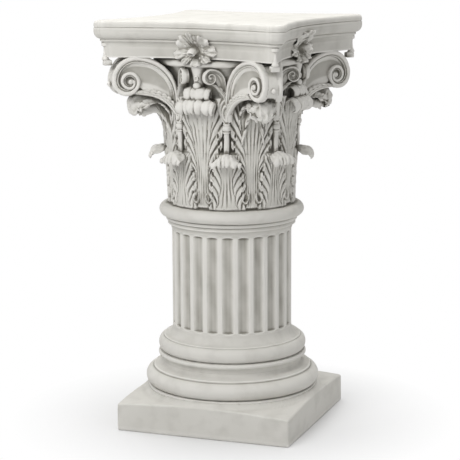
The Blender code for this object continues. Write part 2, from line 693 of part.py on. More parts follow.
def fill_pockets(core):
    """Apply the modifiers, and fill the closed pockets that the carvings leave against the bell."""
    graph = bpy.context.evaluated_depsgraph_get()
    mesh = bpy.data.meshes.new_from_object(core.evaluated_get(graph))
    bm = bmesh.new()
    bm.from_mesh(mesh)
    pockets = [group for group in islands(bm) if enclosed_volume(group) < 0]
    for group in pockets:
        bmesh.ops.delete(bm, geom=list(group), context="FACES")
    bmesh.ops.triangulate(bm, faces=bm.faces)
    bm.to_mesh(mesh)
    bm.free()
    core.modifiers.clear()
    core.data = mesh
    mesh.shade_smooth()
    mesh.set_sharp_from_angle(angle=SMOOTH_ANGLE)


def thin_out(core):
    """Take facets from the flattest places of the carving, where the weld left more than it needs."""
    carved = core.vertex_groups.new(name="carved")
    low, high = BELL_FOOT + LEAF_FOOT_SINK, BELL_TOP - BELL_LIP_DROP / 2
    inside = [vert.index for vert in core.data.vertices if low < vert.co.z < high]
    carved.add(inside, 1.0, "REPLACE")
    thin = core.modifiers.new("thin_flat_places", "DECIMATE")
    thin.decimate_type = "COLLAPSE"
    thin.vertex_group = carved.name
    thin.ratio = min(1.0, KEPT_TRIANGLES / len(core.data.polygons))


def main():
    """Build the pedestal."""
    clear_scene()
    parts = new_collection("corinthian_pedestal")
    helpers = new_collection("cutters")
    carvings = new_collection("carvings")
    core = turned("column", shaft_profile(), ROUND_STEPS, parts, hidden=False)
    core.data.materials.append(stone_material())
    cutters = flute_cutters(helpers)
    plinth(carvings)
    turned("bell", bell_profile(), BELL_STEPS, carvings)
    abacus(carvings)
    leaves(carvings)
    scrolls(carvings)
    stems(carvings)
    trumpets(carvings)
    flowers(carvings)
    corner_drops(carvings)
    join_all(core, cutters, carvings)
    fill_pockets(core)
    thin_out(core)


main()
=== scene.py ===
"""Looks of the Corinthian display pedestal: fine carving and an aged stone finish, with painted shade where
parts close each other in, around the frame.

Every surface is a grid of points worked out with numpy from a formula that its method gives in
words. Lengths are metres, +Z is up, the wide front side of the slab faces -Y, and the origin is the
centre of the plinth's underside. One corner or side is carved and then set round the axis.
"""
import sys

import logging
import math
from dataclasses import dataclass, field
from enum import Enum
from typing import Sequence

import bpy
import numpy as np
from mathutils import Euler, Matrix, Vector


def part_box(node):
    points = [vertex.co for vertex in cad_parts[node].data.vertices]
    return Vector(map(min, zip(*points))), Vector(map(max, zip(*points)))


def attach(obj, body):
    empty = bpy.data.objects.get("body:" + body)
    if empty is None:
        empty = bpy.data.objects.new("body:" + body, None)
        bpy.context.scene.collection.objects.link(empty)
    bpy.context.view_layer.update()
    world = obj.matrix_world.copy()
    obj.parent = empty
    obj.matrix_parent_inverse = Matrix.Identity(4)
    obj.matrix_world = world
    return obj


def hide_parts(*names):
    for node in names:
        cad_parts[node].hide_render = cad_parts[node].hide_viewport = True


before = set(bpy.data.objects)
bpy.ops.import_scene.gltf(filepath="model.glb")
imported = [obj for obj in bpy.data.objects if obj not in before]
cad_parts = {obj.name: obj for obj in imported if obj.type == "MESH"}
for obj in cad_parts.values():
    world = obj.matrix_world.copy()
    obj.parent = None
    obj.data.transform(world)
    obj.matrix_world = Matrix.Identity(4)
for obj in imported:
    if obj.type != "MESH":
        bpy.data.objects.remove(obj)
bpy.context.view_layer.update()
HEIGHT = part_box("column")[1][2]

Array = np.ndarray
LOG = logging.getLogger("pedestal")

QUARTERS = tuple(math.radians(90.0 * k) for k in range(4))
EIGHTHS = tuple(math.radians(45.0 * k) for k in range(8))
CORNERS = tuple(math.radians(-45.0) + turn for turn in QUARTERS)
STEM_TURNS = tuple(math.radians(-22.5) + turn for turn in EIGHTHS)
NEIGHBOURS = ((1, 0), (-1, 0), (0, 1), (0, -1))

ASTRAGAL_TOP = 0.3342
BELL_TOP = 0.5565
CARVED_RADIUS = 0.0950

SHARP_EDGE = math.radians(50.0)
COARSE_WAVE = 0.0170
FINE_WAVE = 0.0055
RUBBED = 0.0002
LEAF_EDGE = 0.0003


class Closing(Enum):
    """How the two ends of a surface that closes round are shut."""

    FAN = "fan"
    ZIP = "zip"


def ease(value: Array, low: float, high: float) -> Array:
    """Rise smoothly from 0 at low to 1 at high: 3t^2 - 2t^3.

    Args:
        value: Numbers to read.
        low: Where the rise starts.
        high: Where it ends.

    Returns:
        The eased numbers, from 0 to 1.
    """
    share = np.clip((value - low) / (high - low), 0.0, 1.0)
    return share * share * (3.0 - 2.0 * share)


def bell_curve(value: Array, centre: float, width: float) -> Array:
    """A round hump, exp(-((value - centre) / width)^2)."""
    return np.exp(-(((value - centre) / width) ** 2))


def between(value: Array, places: Sequence[float], sizes: Sequence[float]) -> Array:
    """Read a size that changes along a line, eased between its given places.

    Args:
        value: Where to read.
        places: Rising places at which a size is given.
        sizes: The size at each place.

    Returns:
        The size at every value.
    """
    total = np.full(np.shape(value), float(sizes[0]))
    for low, high, start, end in zip(places, places[1:], sizes, sizes[1:]):
        total = total + (end - start) * ease(value, low, high)
    return total


def around_axis(radius: Array, angle: Array, height: Array) -> Array:
    """Points at a radius, an angle from +X and a height: (r cos a, r sin a, z)."""
    radius, angle, height = np.broadcast_arrays(radius, angle, height)
    return np.stack([radius * np.cos(angle), radius * np.sin(angle), height], axis=-1)


def turn_points(points: Array, angle: float) -> Array:
    """Turn points about the column's axis.

    Args:
        points: Any number of points.
        angle: Angle in radians, anticlockwise from above.

    Returns:
        The turned points.
    """
    cos, sin = math.cos(angle), math.sin(angle)
    x, y = points[..., 0], points[..., 1]
    return np.stack([x * cos - y * sin, x * sin + y * cos, points[..., 2]], axis=-1)


def flip_points(points: Array) -> Array:
    """Mirror points in the upright plane through the axis and +X."""
    return points * np.array([1.0, -1.0, 1.0])


def arc_line(centre: tuple, size: tuple, start: float, end: float, count: int) -> Array:
    """Part of an oval in the plane of radius and height: centre + size * (cos a, sin a).

    Args:
        centre: Radius and height of the oval's middle.
        size: Half width and half height.
        start: First angle in degrees.
        end: Last angle in degrees.
        count: Number of points.

    Returns:
        The radii and heights, one pair for each point.
    """
    angles = np.radians(np.linspace(start, end, count))
    return np.stack([centre[0] + size[0] * np.cos(angles), centre[1] + size[1] * np.sin(angles)], -1)


def path_line(start: tuple, runs: Sequence[tuple], places: Array, heading: float = 0.0) -> tuple:
    """Follow straight and round runs in a plane, from a heading measured from straight up.

    The heading is the sum of the turns so far, and the point is the running sum of short steps
    along it, step * (sin heading, cos heading).

    Args:
        start: First point, as the distance out and the height.
        runs: Pairs of a length and the turn made over it, in radians.
        places: Shares of the whole length at which to read the path.
        heading: Heading at the start, in radians.

    Returns:
        The points and the headings at the places.
    """
    lengths, turns = np.array([run[0] for run in runs]), np.array([run[1] for run in runs])
    knots = np.concatenate([[0.0], np.cumsum(lengths)])
    heads = heading + np.concatenate([[0.0], np.cumsum(turns)])
    along = np.linspace(0.0, knots[-1], 2000)
    course = np.interp(along, knots, heads)
    middle, step = 0.5 * (course[1:] + course[:-1]), np.diff(along)
    out = start[0] + np.concatenate([[0.0], np.cumsum(np.sin(middle) * step)])
    up = start[1] + np.concatenate([[0.0], np.cumsum(np.cos(middle) * step)])
    read = np.clip(places, 0.0, 1.0) * knots[-1]
    points = np.stack([np.interp(read, along, out), np.interp(read, along, up)], axis=-1)
    return points, np.interp(read, along, course)


def bend(radius: float, degrees: float) -> tuple:
    """A round run of the given radius and turn."""
    return (radius * math.radians(degrees), math.radians(degrees))


def inward(heading: Array) -> Array:
    """Direction square to a heading, towards the inside of a turn: (cos, -sin)."""
    return np.stack([np.cos(heading), -np.sin(heading)], axis=-1)


def groove(distance: Array, width: float) -> Array:
    """A narrow cut, exp(-(distance / width)^2)."""
    return np.exp(-((distance / width) ** 2))


def to_line(phase: Array) -> Array:
    """Distance to the nearest whole number."""
    return np.abs(phase - np.round(phase))


def uneven(points: Array, size: float) -> Array:
    """Smooth unevenness in space, the mean of waves along slanting directions.

    Args:
        points: Where to read.
        size: Length of a wave.

    Returns:
        Numbers from -1 to 1, one for each point.
    """
    total = np.zeros(points.shape[:-1])
    for k in range(7):
        turn, tip = 2.4 * k + 0.5, 0.9 * math.sin(1.7 * k + 0.3)
        way = np.array([math.cos(turn) * math.cos(tip), math.sin(turn) * math.cos(tip), math.sin(tip)])
        total += np.sin(points @ way * math.tau / size * (0.75 + 0.11 * k) + 1.9 * k)
    return total / 3.5


def moved(grid: Array, rows: int, columns: int, wraps: bool) -> Array:
    """The grid read some rows and columns further on, held at its ends unless it wraps.

    Args:
        grid: Rows x columns of anything.
        rows: How many rows further on.
        columns: How many columns further on.
        wraps: Whether the columns close round.

    Returns:
        A grid of the same size.
    """
    row = np.clip(np.arange(grid.shape[0]) + rows, 0, grid.shape[0] - 1)
    column = np.arange(grid.shape[1]) + columns
    column = column % grid.shape[1] if wraps else np.clip(column, 0, grid.shape[1] - 1)
    return grid[row][:, column]


def grid_normals(points: Array, wraps: bool) -> Array:
    """Unit normals of a grid, from the cross product of its two differences.

    Args:
        points: Rows x columns x 3.
        wraps: Whether the columns close round.

    Returns:
        One normal for each point.
    """
    along = moved(points, 1, 0, wraps) - moved(points, -1, 0, wraps)
    across = moved(points, 0, 1, wraps) - moved(points, 0, -1, wraps)
    normal = np.cross(across, along)
    return normal / np.maximum(np.linalg.norm(normal, axis=-1, keepdims=True), 1e-12)


def hollowness(points: Array, wraps: bool, steps: Sequence[int]) -> Array:
    """How far each point lies below the mean of its neighbours, summed over several reaches.

    Args:
        points: Grid of points whose columns run anticlockwise seen from outside.
        wraps: Whether the columns close round.
        steps: Reaches, in grid cells.

    Returns:
        Metres, positive in grooves and negative on ridges.
    """
    normal = grid_normals(points, wraps)
    total = np.zeros(points.shape[:2])
    for step in steps:
        near = sum(moved(points, a * step, b * step, wraps) for a, b in NEIGHBOURS)
        total += ((near / len(NEIGHBOURS) - points) * normal).sum(axis=-1)
    return total / len(steps)


@dataclass
class Surface:
    """A closed surface: rows of points that run round it, and two ends that are shut.

    Attributes:
        points: Rows x columns x 3, each row closing round.
        closing: How the first and last rows are shut.
        reading: Share of its grooves and ridges that the finish takes up.
        reaches: Grid cells over which they are read.
        pale: Metres taken off the reading, so that the finish looks rubbed.
        hollow: Metres that each point lies below its neighbours.
    """

    points: Array
    closing: Closing = Closing.FAN
    reading: float = 1.0
    reaches: tuple = (1, 2, 4)
    pale: float = 0.0
    hollow: Array = field(init=False)

    def __post_init__(self) -> None:
        """Turn the surface outwards and read its grooves and ridges."""
        if self.volume() < 0.0:
            self.points = self.points[:, ::-1]
        self.hollow = hollowness(self.points, True, self.reaches) * self.reading - self.pale

    def volume(self) -> float:
        """Signed volume inside, the sum of a . (b x c) / 6 over the side faces and fan ends."""
        a, b = self.points[:-1], np.roll(self.points, -1, axis=1)[:-1]
        c, d = np.roll(self.points, -1, axis=1)[1:], self.points[1:]
        total = (a * np.cross(b, c)).sum() + (a * np.cross(c, d)).sum()
        for ring, sign in ((self.points[0], -1.0), (self.points[-1], 1.0)):
            middle = ring.mean(axis=0)
            total += sign * (np.cross(ring, np.roll(ring, -1, axis=0)) * middle).sum()
        return float(total) / 6.0

    def corners(self) -> tuple:
        """Faces as vertex numbers, with the points that close fan ends.

        Returns:
            All points, their hollowness, and the corners of the quads and of the triangles.
        """
        rows, columns = self.points.shape[:2]
        index = np.arange(rows * columns).reshape(rows, columns)
        ahead = np.roll(index, -1, axis=1)
        quads = [np.stack([index[:-1], ahead[:-1], ahead[1:], index[1:]], axis=-1).reshape(-1, 4)]
        points, hollow = self.points.reshape(-1, 3), self.hollow.reshape(-1)
        triangles = np.zeros((0, 3), dtype=int)
        if self.closing is Closing.ZIP:
            half = columns // 2
            low = np.arange(half - 1)
            high = columns - 1 - low
            foot, head = index[0], index[-1]
            quads.append(np.stack([foot[low + 1], foot[low], foot[high], foot[high - 1]], -1))
            quads.append(np.stack([head[low], head[low + 1], head[high - 1], head[high]], -1))
        else:
            middles = np.stack([self.points[0].mean(axis=0), self.points[-1].mean(axis=0)])
            first, last = np.full(columns, rows * columns), np.full(columns, rows * columns + 1)
            triangles = np.concatenate([np.stack([ahead[0], index[0], first], -1),
                                        np.stack([index[-1], ahead[-1], last], -1)])
            points, hollow = np.concatenate([points, middles]), np.concatenate([hollow, [0.0, 0.0]])
        return points, hollow, np.concatenate(quads), triangles


class Carving:
    """One piece of the pedestal, gathered from surfaces and set round the axis."""

    def __init__(self, name: str, wobble: float = 0.0) -> None:
        """Start an empty piece of the given name, whose surface wanders by up to the wobble."""
        self.name = name
        self.wobble = wobble
        self.points: list = []
        self.hollow: list = []
        self.quads: list = []
        self.triangles: list = []
        self.count = 0

    def add(self, surface: Surface, turns: Sequence[float] = (0.0,), both_sides: bool = False) -> None:
        """Add a surface at each of several turns, and its mirror image if asked.

        Args:
            surface: The surface as it stands facing +X.
            turns: Angles about the axis.
            both_sides: Whether the copy mirrored in the plane facing +X is added too.
        """
        points, hollow, quads, triangles = surface.corners()
        shapes = [(points, quads, triangles)]
        if both_sides:
            shapes.append((flip_points(points), quads[:, ::-1], triangles[:, ::-1]))
        for turn in turns:
            for place, fours, threes in shapes:
                self.points.append(turn_points(place, turn))
                self.hollow.append(hollow)
                self.quads.append(fours + self.count)
                self.triangles.append(threes + self.count)
                self.count += len(points)

    def build(self) -> bpy.types.Object:
        """Put the gathered surfaces into one mesh object with its hollowness as an attribute.

        Returns:
            The object, at the origin, riding on the column's body.
        """
        quads, triangles = np.concatenate(self.quads), np.concatenate(self.triangles)
        corners = np.concatenate([quads.ravel(), triangles.ravel()]).astype(np.int32)
        sizes = np.concatenate([np.full(len(quads), 4), np.full(len(triangles), 3)])
        starts = np.concatenate([[0], np.cumsum(sizes)[:-1]]).astype(np.int32)
        mesh = bpy.data.meshes.new(self.name)
        mesh.vertices.add(self.count)
        mesh.vertices.foreach_set("co", np.concatenate(self.points).astype(np.float32).ravel())
        mesh.loops.add(len(corners))
        mesh.loops.foreach_set("vertex_index", corners)
        mesh.polygons.add(len(sizes))
        mesh.polygons.foreach_set("loop_start", starts)
        mesh.update(calc_edges=True)
        mesh.validate()
        self.wander(mesh)
        mesh.shade_smooth()
        mesh.set_sharp_from_angle(angle=SHARP_EDGE)
        hollow = mesh.attributes.new("hollow", "FLOAT", "POINT")
        hollow.data.foreach_set("value", np.concatenate(self.hollow).astype(np.float32))
        piece = bpy.data.objects.new(self.name, mesh)
        bpy.context.scene.collection.objects.link(piece)
        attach(piece, "root")
        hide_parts("column")
        LOG.info("%s: %d points, %d triangles", self.name, self.count, 2 * len(quads) + len(triangles))
        return piece

    def wander(self, mesh: bpy.types.Mesh) -> None:
        """Move each point along its normal by coarse and fine waves, so that no copy is the same."""
        if self.wobble:
            place, normal = np.concatenate(self.points), np.empty(self.count * 3, np.float32)
            mesh.vertex_normals.foreach_get("vector", normal)
            shift = uneven(place, COARSE_WAVE) + 0.5 * uneven(place, FINE_WAVE)
            place = place + normal.reshape(-1, 3) * (self.wobble * shift)[:, None]
            mesh.vertices.foreach_set("co", place.astype(np.float32).ravel())
            mesh.update()


def two_faced(front: Array, back: Array, pale: float = 0.0) -> Surface:
    """A closed piece between a front and a back grid, joined along every edge."""
    return Surface(np.concatenate([front, back[:, ::-1]], axis=1), Closing.ZIP, pale=pale)


def sheet(middle: Array, normal: Array, front: Array, back: Array) -> Surface:
    """A closed, rubbed sheet: the middle grid moved out to both faces, which meet at every edge.

    Args:
        middle: Rows x columns x 3 points half way through the sheet.
        normal: Unit directions out of its front, per point.
        front: Distance from the middle to the front face.
        back: Distance from the middle to the back face.

    Returns:
        The sheet as one closed surface.
    """
    return two_faced(middle + normal * front[..., None], middle - normal * back[..., None], RUBBED)


def turned(profile: Array, steps: int) -> Surface:
    """Turn a line of radii and heights round the column's axis."""
    angles = np.linspace(0.0, math.tau, steps, endpoint=False)
    return Surface(around_axis(profile[:, :1], angles[None, :], profile[:, 1:]), reaches=(1, 2))


def fine(profile: Sequence[Array], step: float = 0.0022) -> Array:
    """Join stretches of a profile and add points so that none lies further than a step on.

    Args:
        profile: Stretches of radii and heights.
        step: Longest distance between two points.

    Returns:
        The whole line.
    """
    line = np.concatenate([np.atleast_2d(part) for part in profile])
    gaps = np.linalg.norm(np.diff(line, axis=0), axis=1)
    counts = np.maximum(1, np.ceil(gaps / step)).astype(int)
    parts = [line[i] + (line[i + 1] - line[i]) * (np.arange(n) / n)[:, None] for i, n in enumerate(counts)]
    return np.concatenate(parts + [line[-1:]])


@dataclass
class Plinth:
    """The square block under the base, its top crowned, turned a little against the capital."""

    width: float = 0.270
    height: float = 0.041
    edge: float = 0.0030
    corner: float = 0.0035
    side_rise: float = 0.006
    foot_rise: float = 0.0075
    foot_reach: float = 0.1275
    foot_sweep: float = 0.0090
    turn: float = math.radians(6.5)
    wave: float = 0.0004
    wave_length: float = 0.0600
    side_points: int = 42

    def outline(self) -> Array:
        """Square with rounded corners: each side is a straight run and a quarter circle."""
        half = self.width / 2
        inner = half - self.corner
        run = np.linspace(-inner, inner, self.side_points)
        straight = np.stack([np.full(run.shape, half), run], axis=-1)
        side = np.concatenate([straight, arc_line((inner, inner), (self.corner, self.corner), 10, 80, 5)])
        turned_sides = [side @ np.array([[math.cos(q), math.sin(q)], [-math.sin(q), math.cos(q)]])
                        for q in QUARTERS]
        return np.concatenate(turned_sides)

    def crown(self, flat: Array) -> Array:
        """Height of the top: it rises towards the sides' middles and up to the round foot.

        Args:
            flat: Points seen from above.

        Returns:
            One height for each point.
        """
        a, b = (np.clip(flat[..., k] / (self.width / 2), -1, 1) for k in (0, 1))
        away = np.hypot(flat[..., 0], flat[..., 1]) - self.foot_reach
        sweep = 1.0 - ease(away, 0.0, self.foot_sweep)
        return self.height + self.side_rise * (1 - (a * b) ** 2) + self.foot_rise * sweep

    def surface(self) -> Surface:
        """Rings from the middle of the underside, up the sides and in over the crowned top.

        Each ring is the outline scaled by a share; the edge rings follow a quarter circle. Slow waves
        keep the sides from being quite flat.
        """
        half = self.width / 2
        angles = np.radians(np.linspace(0.0, 90.0, 6))
        outline = self.outline()
        rings = [(share, 0.0, 0.0) for share in (0.02, 0.5, 0.9, 1 - 0.0015 / half)]
        rings += [(1.0, share, 0.0) for share in np.linspace(0.03, 0.92, 12)]
        rings += [(1 - self.edge * (1 - math.cos(a)) / half, 1.0, self.edge * (math.sin(a) - 1))
                  for a in angles]
        rings += [(share, 1.0, 0.0) for share in np.linspace(1 - self.edge / half, 0.02, 34)[1:]]
        share, lift, drop = (np.array(column)[:, None] for column in zip(*rings))
        flat = outline[None] * share[..., None]
        height = self.crown(flat) * lift + drop
        points = np.concatenate([flat, height[..., None]], axis=-1)
        wave = self.wave * uneven(points, self.wave_length) * ease(height, 0.0, self.edge) / half
        points = points * np.stack([1 + wave, 1 + wave, np.ones_like(wave)], -1)
        return Surface(turn_points(points, self.turn), reading=0.04)

    def build(self) -> Carving:
        """Carve the plinth."""
        piece = Carving("plinth")
        piece.add(self.surface())
        return piece


@dataclass
class Base:
    """The round base: two thick mouldings with a hollow between them and a sweep into the shaft."""

    foot_radius: float = 0.1280
    lower_radius: float = 0.1316
    upper_radius: float = 0.1120
    scotia_radius: float = 0.1055
    shaft_radius: float = 0.0903
    sweep_radius: float = 0.1040
    nose: float = 0.0120
    bead_reach: float = 0.0040
    bead_inset: float = 0.0035
    step: float = 0.0004
    low: float = 0.0300
    foot_top: float = 0.0556
    lower_top: float = 0.0812
    band_top: float = 0.0848
    scotia_top: float = 0.1000
    bead_top: float = 0.1077
    upper_top: float = 0.1292
    shaft_foot: float = 0.1467

    def profile(self) -> Array:
        """Radii and heights from the plinth to the shaft: steps, ovals and quarter hollows."""
        step = self.step
        lower = (self.lower_top + self.foot_top) / 2
        upper = (self.upper_top + self.bead_top) / 2
        bead = (self.bead_top + self.scotia_top) / 2
        scotia = (self.band_top + self.scotia_top) / 2
        band = self.lower_radius - self.nose
        lip = band - 2 * step
        root = self.upper_radius - self.bead_inset
        sweep = self.sweep_radius - step
        foot, top = self.shaft_foot, self.upper_top
        return fine([
            np.array([(self.foot_radius, self.low), (self.foot_radius, self.foot_top - 2.5 * step),
                      (self.foot_radius - 2.5 * step, self.foot_top)]),
            arc_line((band, lower), (self.nose, self.lower_top - lower), -80, 80, 30),
            np.array([(band + step, self.lower_top + 1.5 * step), (band, self.band_top - 1.5 * step),
                      (lip, self.band_top)]),
            arc_line((lip, scotia), (lip - self.scotia_radius, self.scotia_top - scotia), 265, 180, 14),
            arc_line((root, scotia), (root - self.scotia_radius, self.scotia_top - scotia), 180, 95, 14),
            arc_line((root, bead), (self.bead_reach, self.bead_top - bead), -75, 75, 12),
            arc_line((self.sweep_radius, upper), (self.upper_radius - self.sweep_radius, top - upper),
                     -84, 84, 28),
            np.array([(self.sweep_radius, top + step), (self.sweep_radius, top + 4 * step)]),
            arc_line((sweep, foot), (sweep - self.shaft_radius, foot - top - 5.5 * step), 268, 180, 16),
            np.array([(self.shaft_radius, foot + 0.0010), (self.shaft_radius - 0.0200, foot + 0.0011)]),
        ])

    def build(self) -> Carving:
        """Turn the base."""
        piece = Carving("round_base")
        piece.add(turned(self.profile(), 160))
        return piece


@dataclass
class Shaft:
    """The short drum with upright flutes that end square."""

    radius: float = 0.0903
    low: float = 0.1460
    high: float = 0.2962
    flutes: int = 24
    flute_width: float = 0.0172
    flute_depth: float = 0.0042
    flute_low: float = 0.1480
    flute_high: float = 0.2938
    end_round: float = 0.0022
    columns: int = 16

    def surface(self) -> Surface:
        """Radius over angle and height: a hollow of depth (1 - t^2)^0.7 across each flute.

        t is the distance from the flute's middle in half widths. The ends are steps whose height
        falls towards the middle of the flute, so that they look cut with a round tool.
        """
        angle = np.linspace(0.0, math.tau, self.flutes * self.columns, endpoint=False)
        pitch = math.tau / self.flutes
        offset = (angle / pitch) % 1.0 - 0.5
        across = np.clip(np.abs(offset) * pitch * self.radius / (self.flute_width / 2), 0.0, 1.0)
        ends = np.array([-0.001, 0.0, 0.0006, 0.0012, 0.0018, 0.0024, 0.0032, 0.005, 0.009])
        height = np.concatenate([[self.low], self.flute_low + ends, np.linspace(0.165, 0.275, 28),
                                 self.flute_high - ends[::-1], [self.high]])[:, None]
        drop = self.end_round * (1 - np.sqrt(1 - across ** 2))
        inside = ease(height, self.flute_low + drop, self.flute_low + drop + 0.0012)
        inside = inside * (1 - ease(height, self.flute_high - drop - 0.0012, self.flute_high - drop))
        waver = 1 + 0.10 * np.sin(7 * angle + 60 * height) * np.sin(3 * angle + 25 * height)
        radius = self.radius - self.flute_depth * waver * (1 - across ** 2) ** 0.7 * inside
        return Surface(around_axis(radius, angle, height), reading=0.75)

    def build(self) -> Carving:
        """Carve the shaft."""
        piece = Carving("fluted_shaft")
        piece.add(self.surface())
        return piece


@dataclass
class Necking:
    """Plain band, fillet and round astragal between the shaft and the leaves."""

    low: float = 0.2955
    band_radius: float = 0.0945
    band_top: float = 0.3088
    fillet_radius: float = 0.0990
    fillet_top: float = 0.3150
    radius: float = 0.1090
    step: float = 0.0004

    def profile(self) -> Array:
        """Radii and heights from the flutes' ends up to the foot of the leaves."""
        step, fillet = self.step, self.fillet_radius
        middle = (self.fillet_top + ASTRAGAL_TOP) / 2
        return fine([
            np.array([(0.0860, self.low), (0.0905, self.low), (0.0912, self.low + 2.5 * step)]),
            arc_line((self.band_radius + 0.0030, self.low + 2.5 * step), (0.0062, 0.0070), 180, 100, 8),
            np.array([(self.band_radius + 2.5 * step, self.band_top - 2.5 * step),
                      (self.band_radius + 3 * step, self.band_top),
                      (fillet - 1.5 * step, self.band_top + step), (fillet, self.band_top + 3 * step),
                      (fillet, self.fillet_top - 3 * step), (fillet - 3 * step, self.fillet_top - step)]),
            arc_line((fillet, middle), (self.radius - fillet, ASTRAGAL_TOP - middle), -82, 82, 26),
            np.array([(0.0985, ASTRAGAL_TOP + step / 2), (0.0850, ASTRAGAL_TOP + step)]),
        ])

    def build(self) -> Carving:
        """Turn the necking."""
        piece = Carving("astragal")
        piece.add(turned(self.profile(), 180))
        return piece


@dataclass
class LeafRelief:
    """Low relief of one kind of leaf as it climbs the bell.

    Heights are absolute and widths are half widths. A bundle of long ribs fills the middle of the
    leaf, and tongues that start steeply at the bundle and arch outwards fill its sides.

    Attributes:
        places: Heights at which the next three sizes are given.
        widths: Half width of the leaf.
        bundles: Half width of the bundle of ribs.
        lifts: How far the leaf stands out from the bell.
        ribs: Number of ribs in the bundle.
        pitch: Height from one tongue to the next.
        climb: How far a tongue climbs from the bundle to the edge.
        first: Height at which a first tongue leaves the bundle.
        top: Height at which the relief dies out.
        eyes: Distance from the leaf's middle and height of each drilled eye.
        rib_cut: Depth and width of the cuts between ribs.
        tongue_cut: Depth and width of the cuts between tongues.
        vein_cut: Depth and width of the veins.
        scallop: How far the middle of a tongue stands over its sides.
        border: Height, distance in from the edge and width of the raised border.
        eye_size: Half width and half height of an eye.
        eye_rim: Height of the raised border of an eye.
        eye_depth: Depth of an eye.
    """

    places: tuple
    widths: tuple
    bundles: tuple
    lifts: tuple
    ribs: int
    pitch: float
    climb: float
    first: float
    top: float
    eyes: tuple
    rib_cut: tuple = (0.0016, 0.0010)
    tongue_cut: tuple = (0.0012, 0.0011)
    vein_cut: tuple = (0.0003, 0.0008)
    scallop: float = 0.0030
    border: tuple = (0.0010, 0.0020, 0.0009)
    eye_size: tuple = (0.0014, 0.0034)
    eye_rim: float = 0.0016
    eye_depth: float = 0.0052

    def height(self, x: Array, z: Array, force: Array) -> Array:
        """Relief over the bell at lateral distance x and height z.

        The dome is lift * (0.66 + 0.34 cos(pi s / 2)), s being the share of the half width. The
        ribs are cut apart by narrow grooves. The tongues are cut apart where their phase p = (z -
        first - climb * t^0.6) / pitch is whole, t running from the bundle to the edge. They
        scallop the edge as |sin(pi p)|^0.5 and carry a vein each. Each eye is a tall pit with a
        raised border.

        Args:
            x: Distance from the leaf's middle.
            z: Height.
            force: How deep the cuts are here, about 1.

        Returns:
            Metres above the bell, zero or less outside the leaf.
        """
        width, bundle, lift = (between(z, self.places, sizes)
                               for sizes in (self.widths, self.bundles, self.lifts))
        reach = np.abs(x)
        t = np.clip((reach - bundle) / (width - bundle), 0.0, 1.4)
        phase = (z - self.first - self.climb * t ** 0.6) / self.pitch
        lobe = np.abs(np.sin(math.pi * phase)) ** 0.5
        edge = bundle + (width - bundle) * (0.80 + 0.20 * lobe)
        inside = 1.0 - ease(reach, edge - 0.0013, edge + 0.0004)
        share = np.clip(reach / edge, 0.0, 1.0)
        side = ease(reach, bundle * 0.96, bundle * 1.06)
        steep = np.hypot(1.0, 0.6 * self.climb / (width - bundle))
        spread = to_line(0.5 * self.ribs * (x / bundle + 1.0))
        rib = groove(spread * 2.0 * bundle / self.ribs, self.rib_cut[1])
        cut = groove(to_line(phase) * self.pitch / steep, self.tongue_cut[1]) * ease(t, 0.02, 0.30)
        vein = groove(to_line(phase * 2.0) * self.pitch / 2.0 / steep, self.vein_cut[1]) * ease(t, 0.05, 0.35)
        relief = lift * (0.66 + 0.34 * np.cos(0.5 * math.pi * share))
        relief -= self.rib_cut[0] * force * rib * (1.0 - side)
        relief += side * self.scallop * (lobe - 0.6)
        relief -= side * force * (self.tongue_cut[0] * cut + self.vein_cut[0] * vein)
        relief += side * self.border[0] * bell_curve(reach - edge, -self.border[1], self.border[2])
        for eye_x, eye_z in self.eyes:
            away = np.hypot((reach - eye_x) / self.eye_size[0], (z - eye_z) / self.eye_size[1])
            relief += self.eye_rim * bell_curve(away, 1.5, 0.5) - self.eye_depth * bell_curve(away, 0.0, 0.75)
        start = ease(z, self.places[0] - 0.0005, self.places[0] + 0.0020)
        end = 1.0 - ease(z, self.top - 0.0120, self.top)
        return relief * inside * start * end


LOWER_RELIEF = LeafRelief(
    places=(0.3340, 0.3480, 0.3700, 0.3880, 0.4000, 0.4120),
    widths=(0.0290, 0.0255, 0.0285, 0.0255, 0.0205, 0.0190),
    bundles=(0.0170, 0.0125, 0.0088, 0.0082, 0.0090, 0.0110),
    lifts=(0.0062, 0.0062, 0.0066, 0.0074, 0.0085, 0.0100),
    ribs=4, pitch=0.0148, climb=0.0300, first=0.3053, top=0.4240,
    eyes=((0.0200, 0.3885), (0.0225, 0.3737), (0.0215, 0.3590)))
UPPER_RELIEF = LeafRelief(
    places=(0.3365, 0.3900, 0.4100, 0.4300, 0.4500, 0.4700),
    widths=(0.0110, 0.0140, 0.0275, 0.0325, 0.0335, 0.0340),
    bundles=(0.0090, 0.0095, 0.0105, 0.0125, 0.0155, 0.0190),
    lifts=(0.0046, 0.0048, 0.0054, 0.0066, 0.0084, 0.0110),
    ribs=5, pitch=0.0214, climb=0.0470, first=0.3760, top=0.5100,
    eyes=((0.0250, 0.4450), (0.0262, 0.4345), (0.0266, 0.4235)))


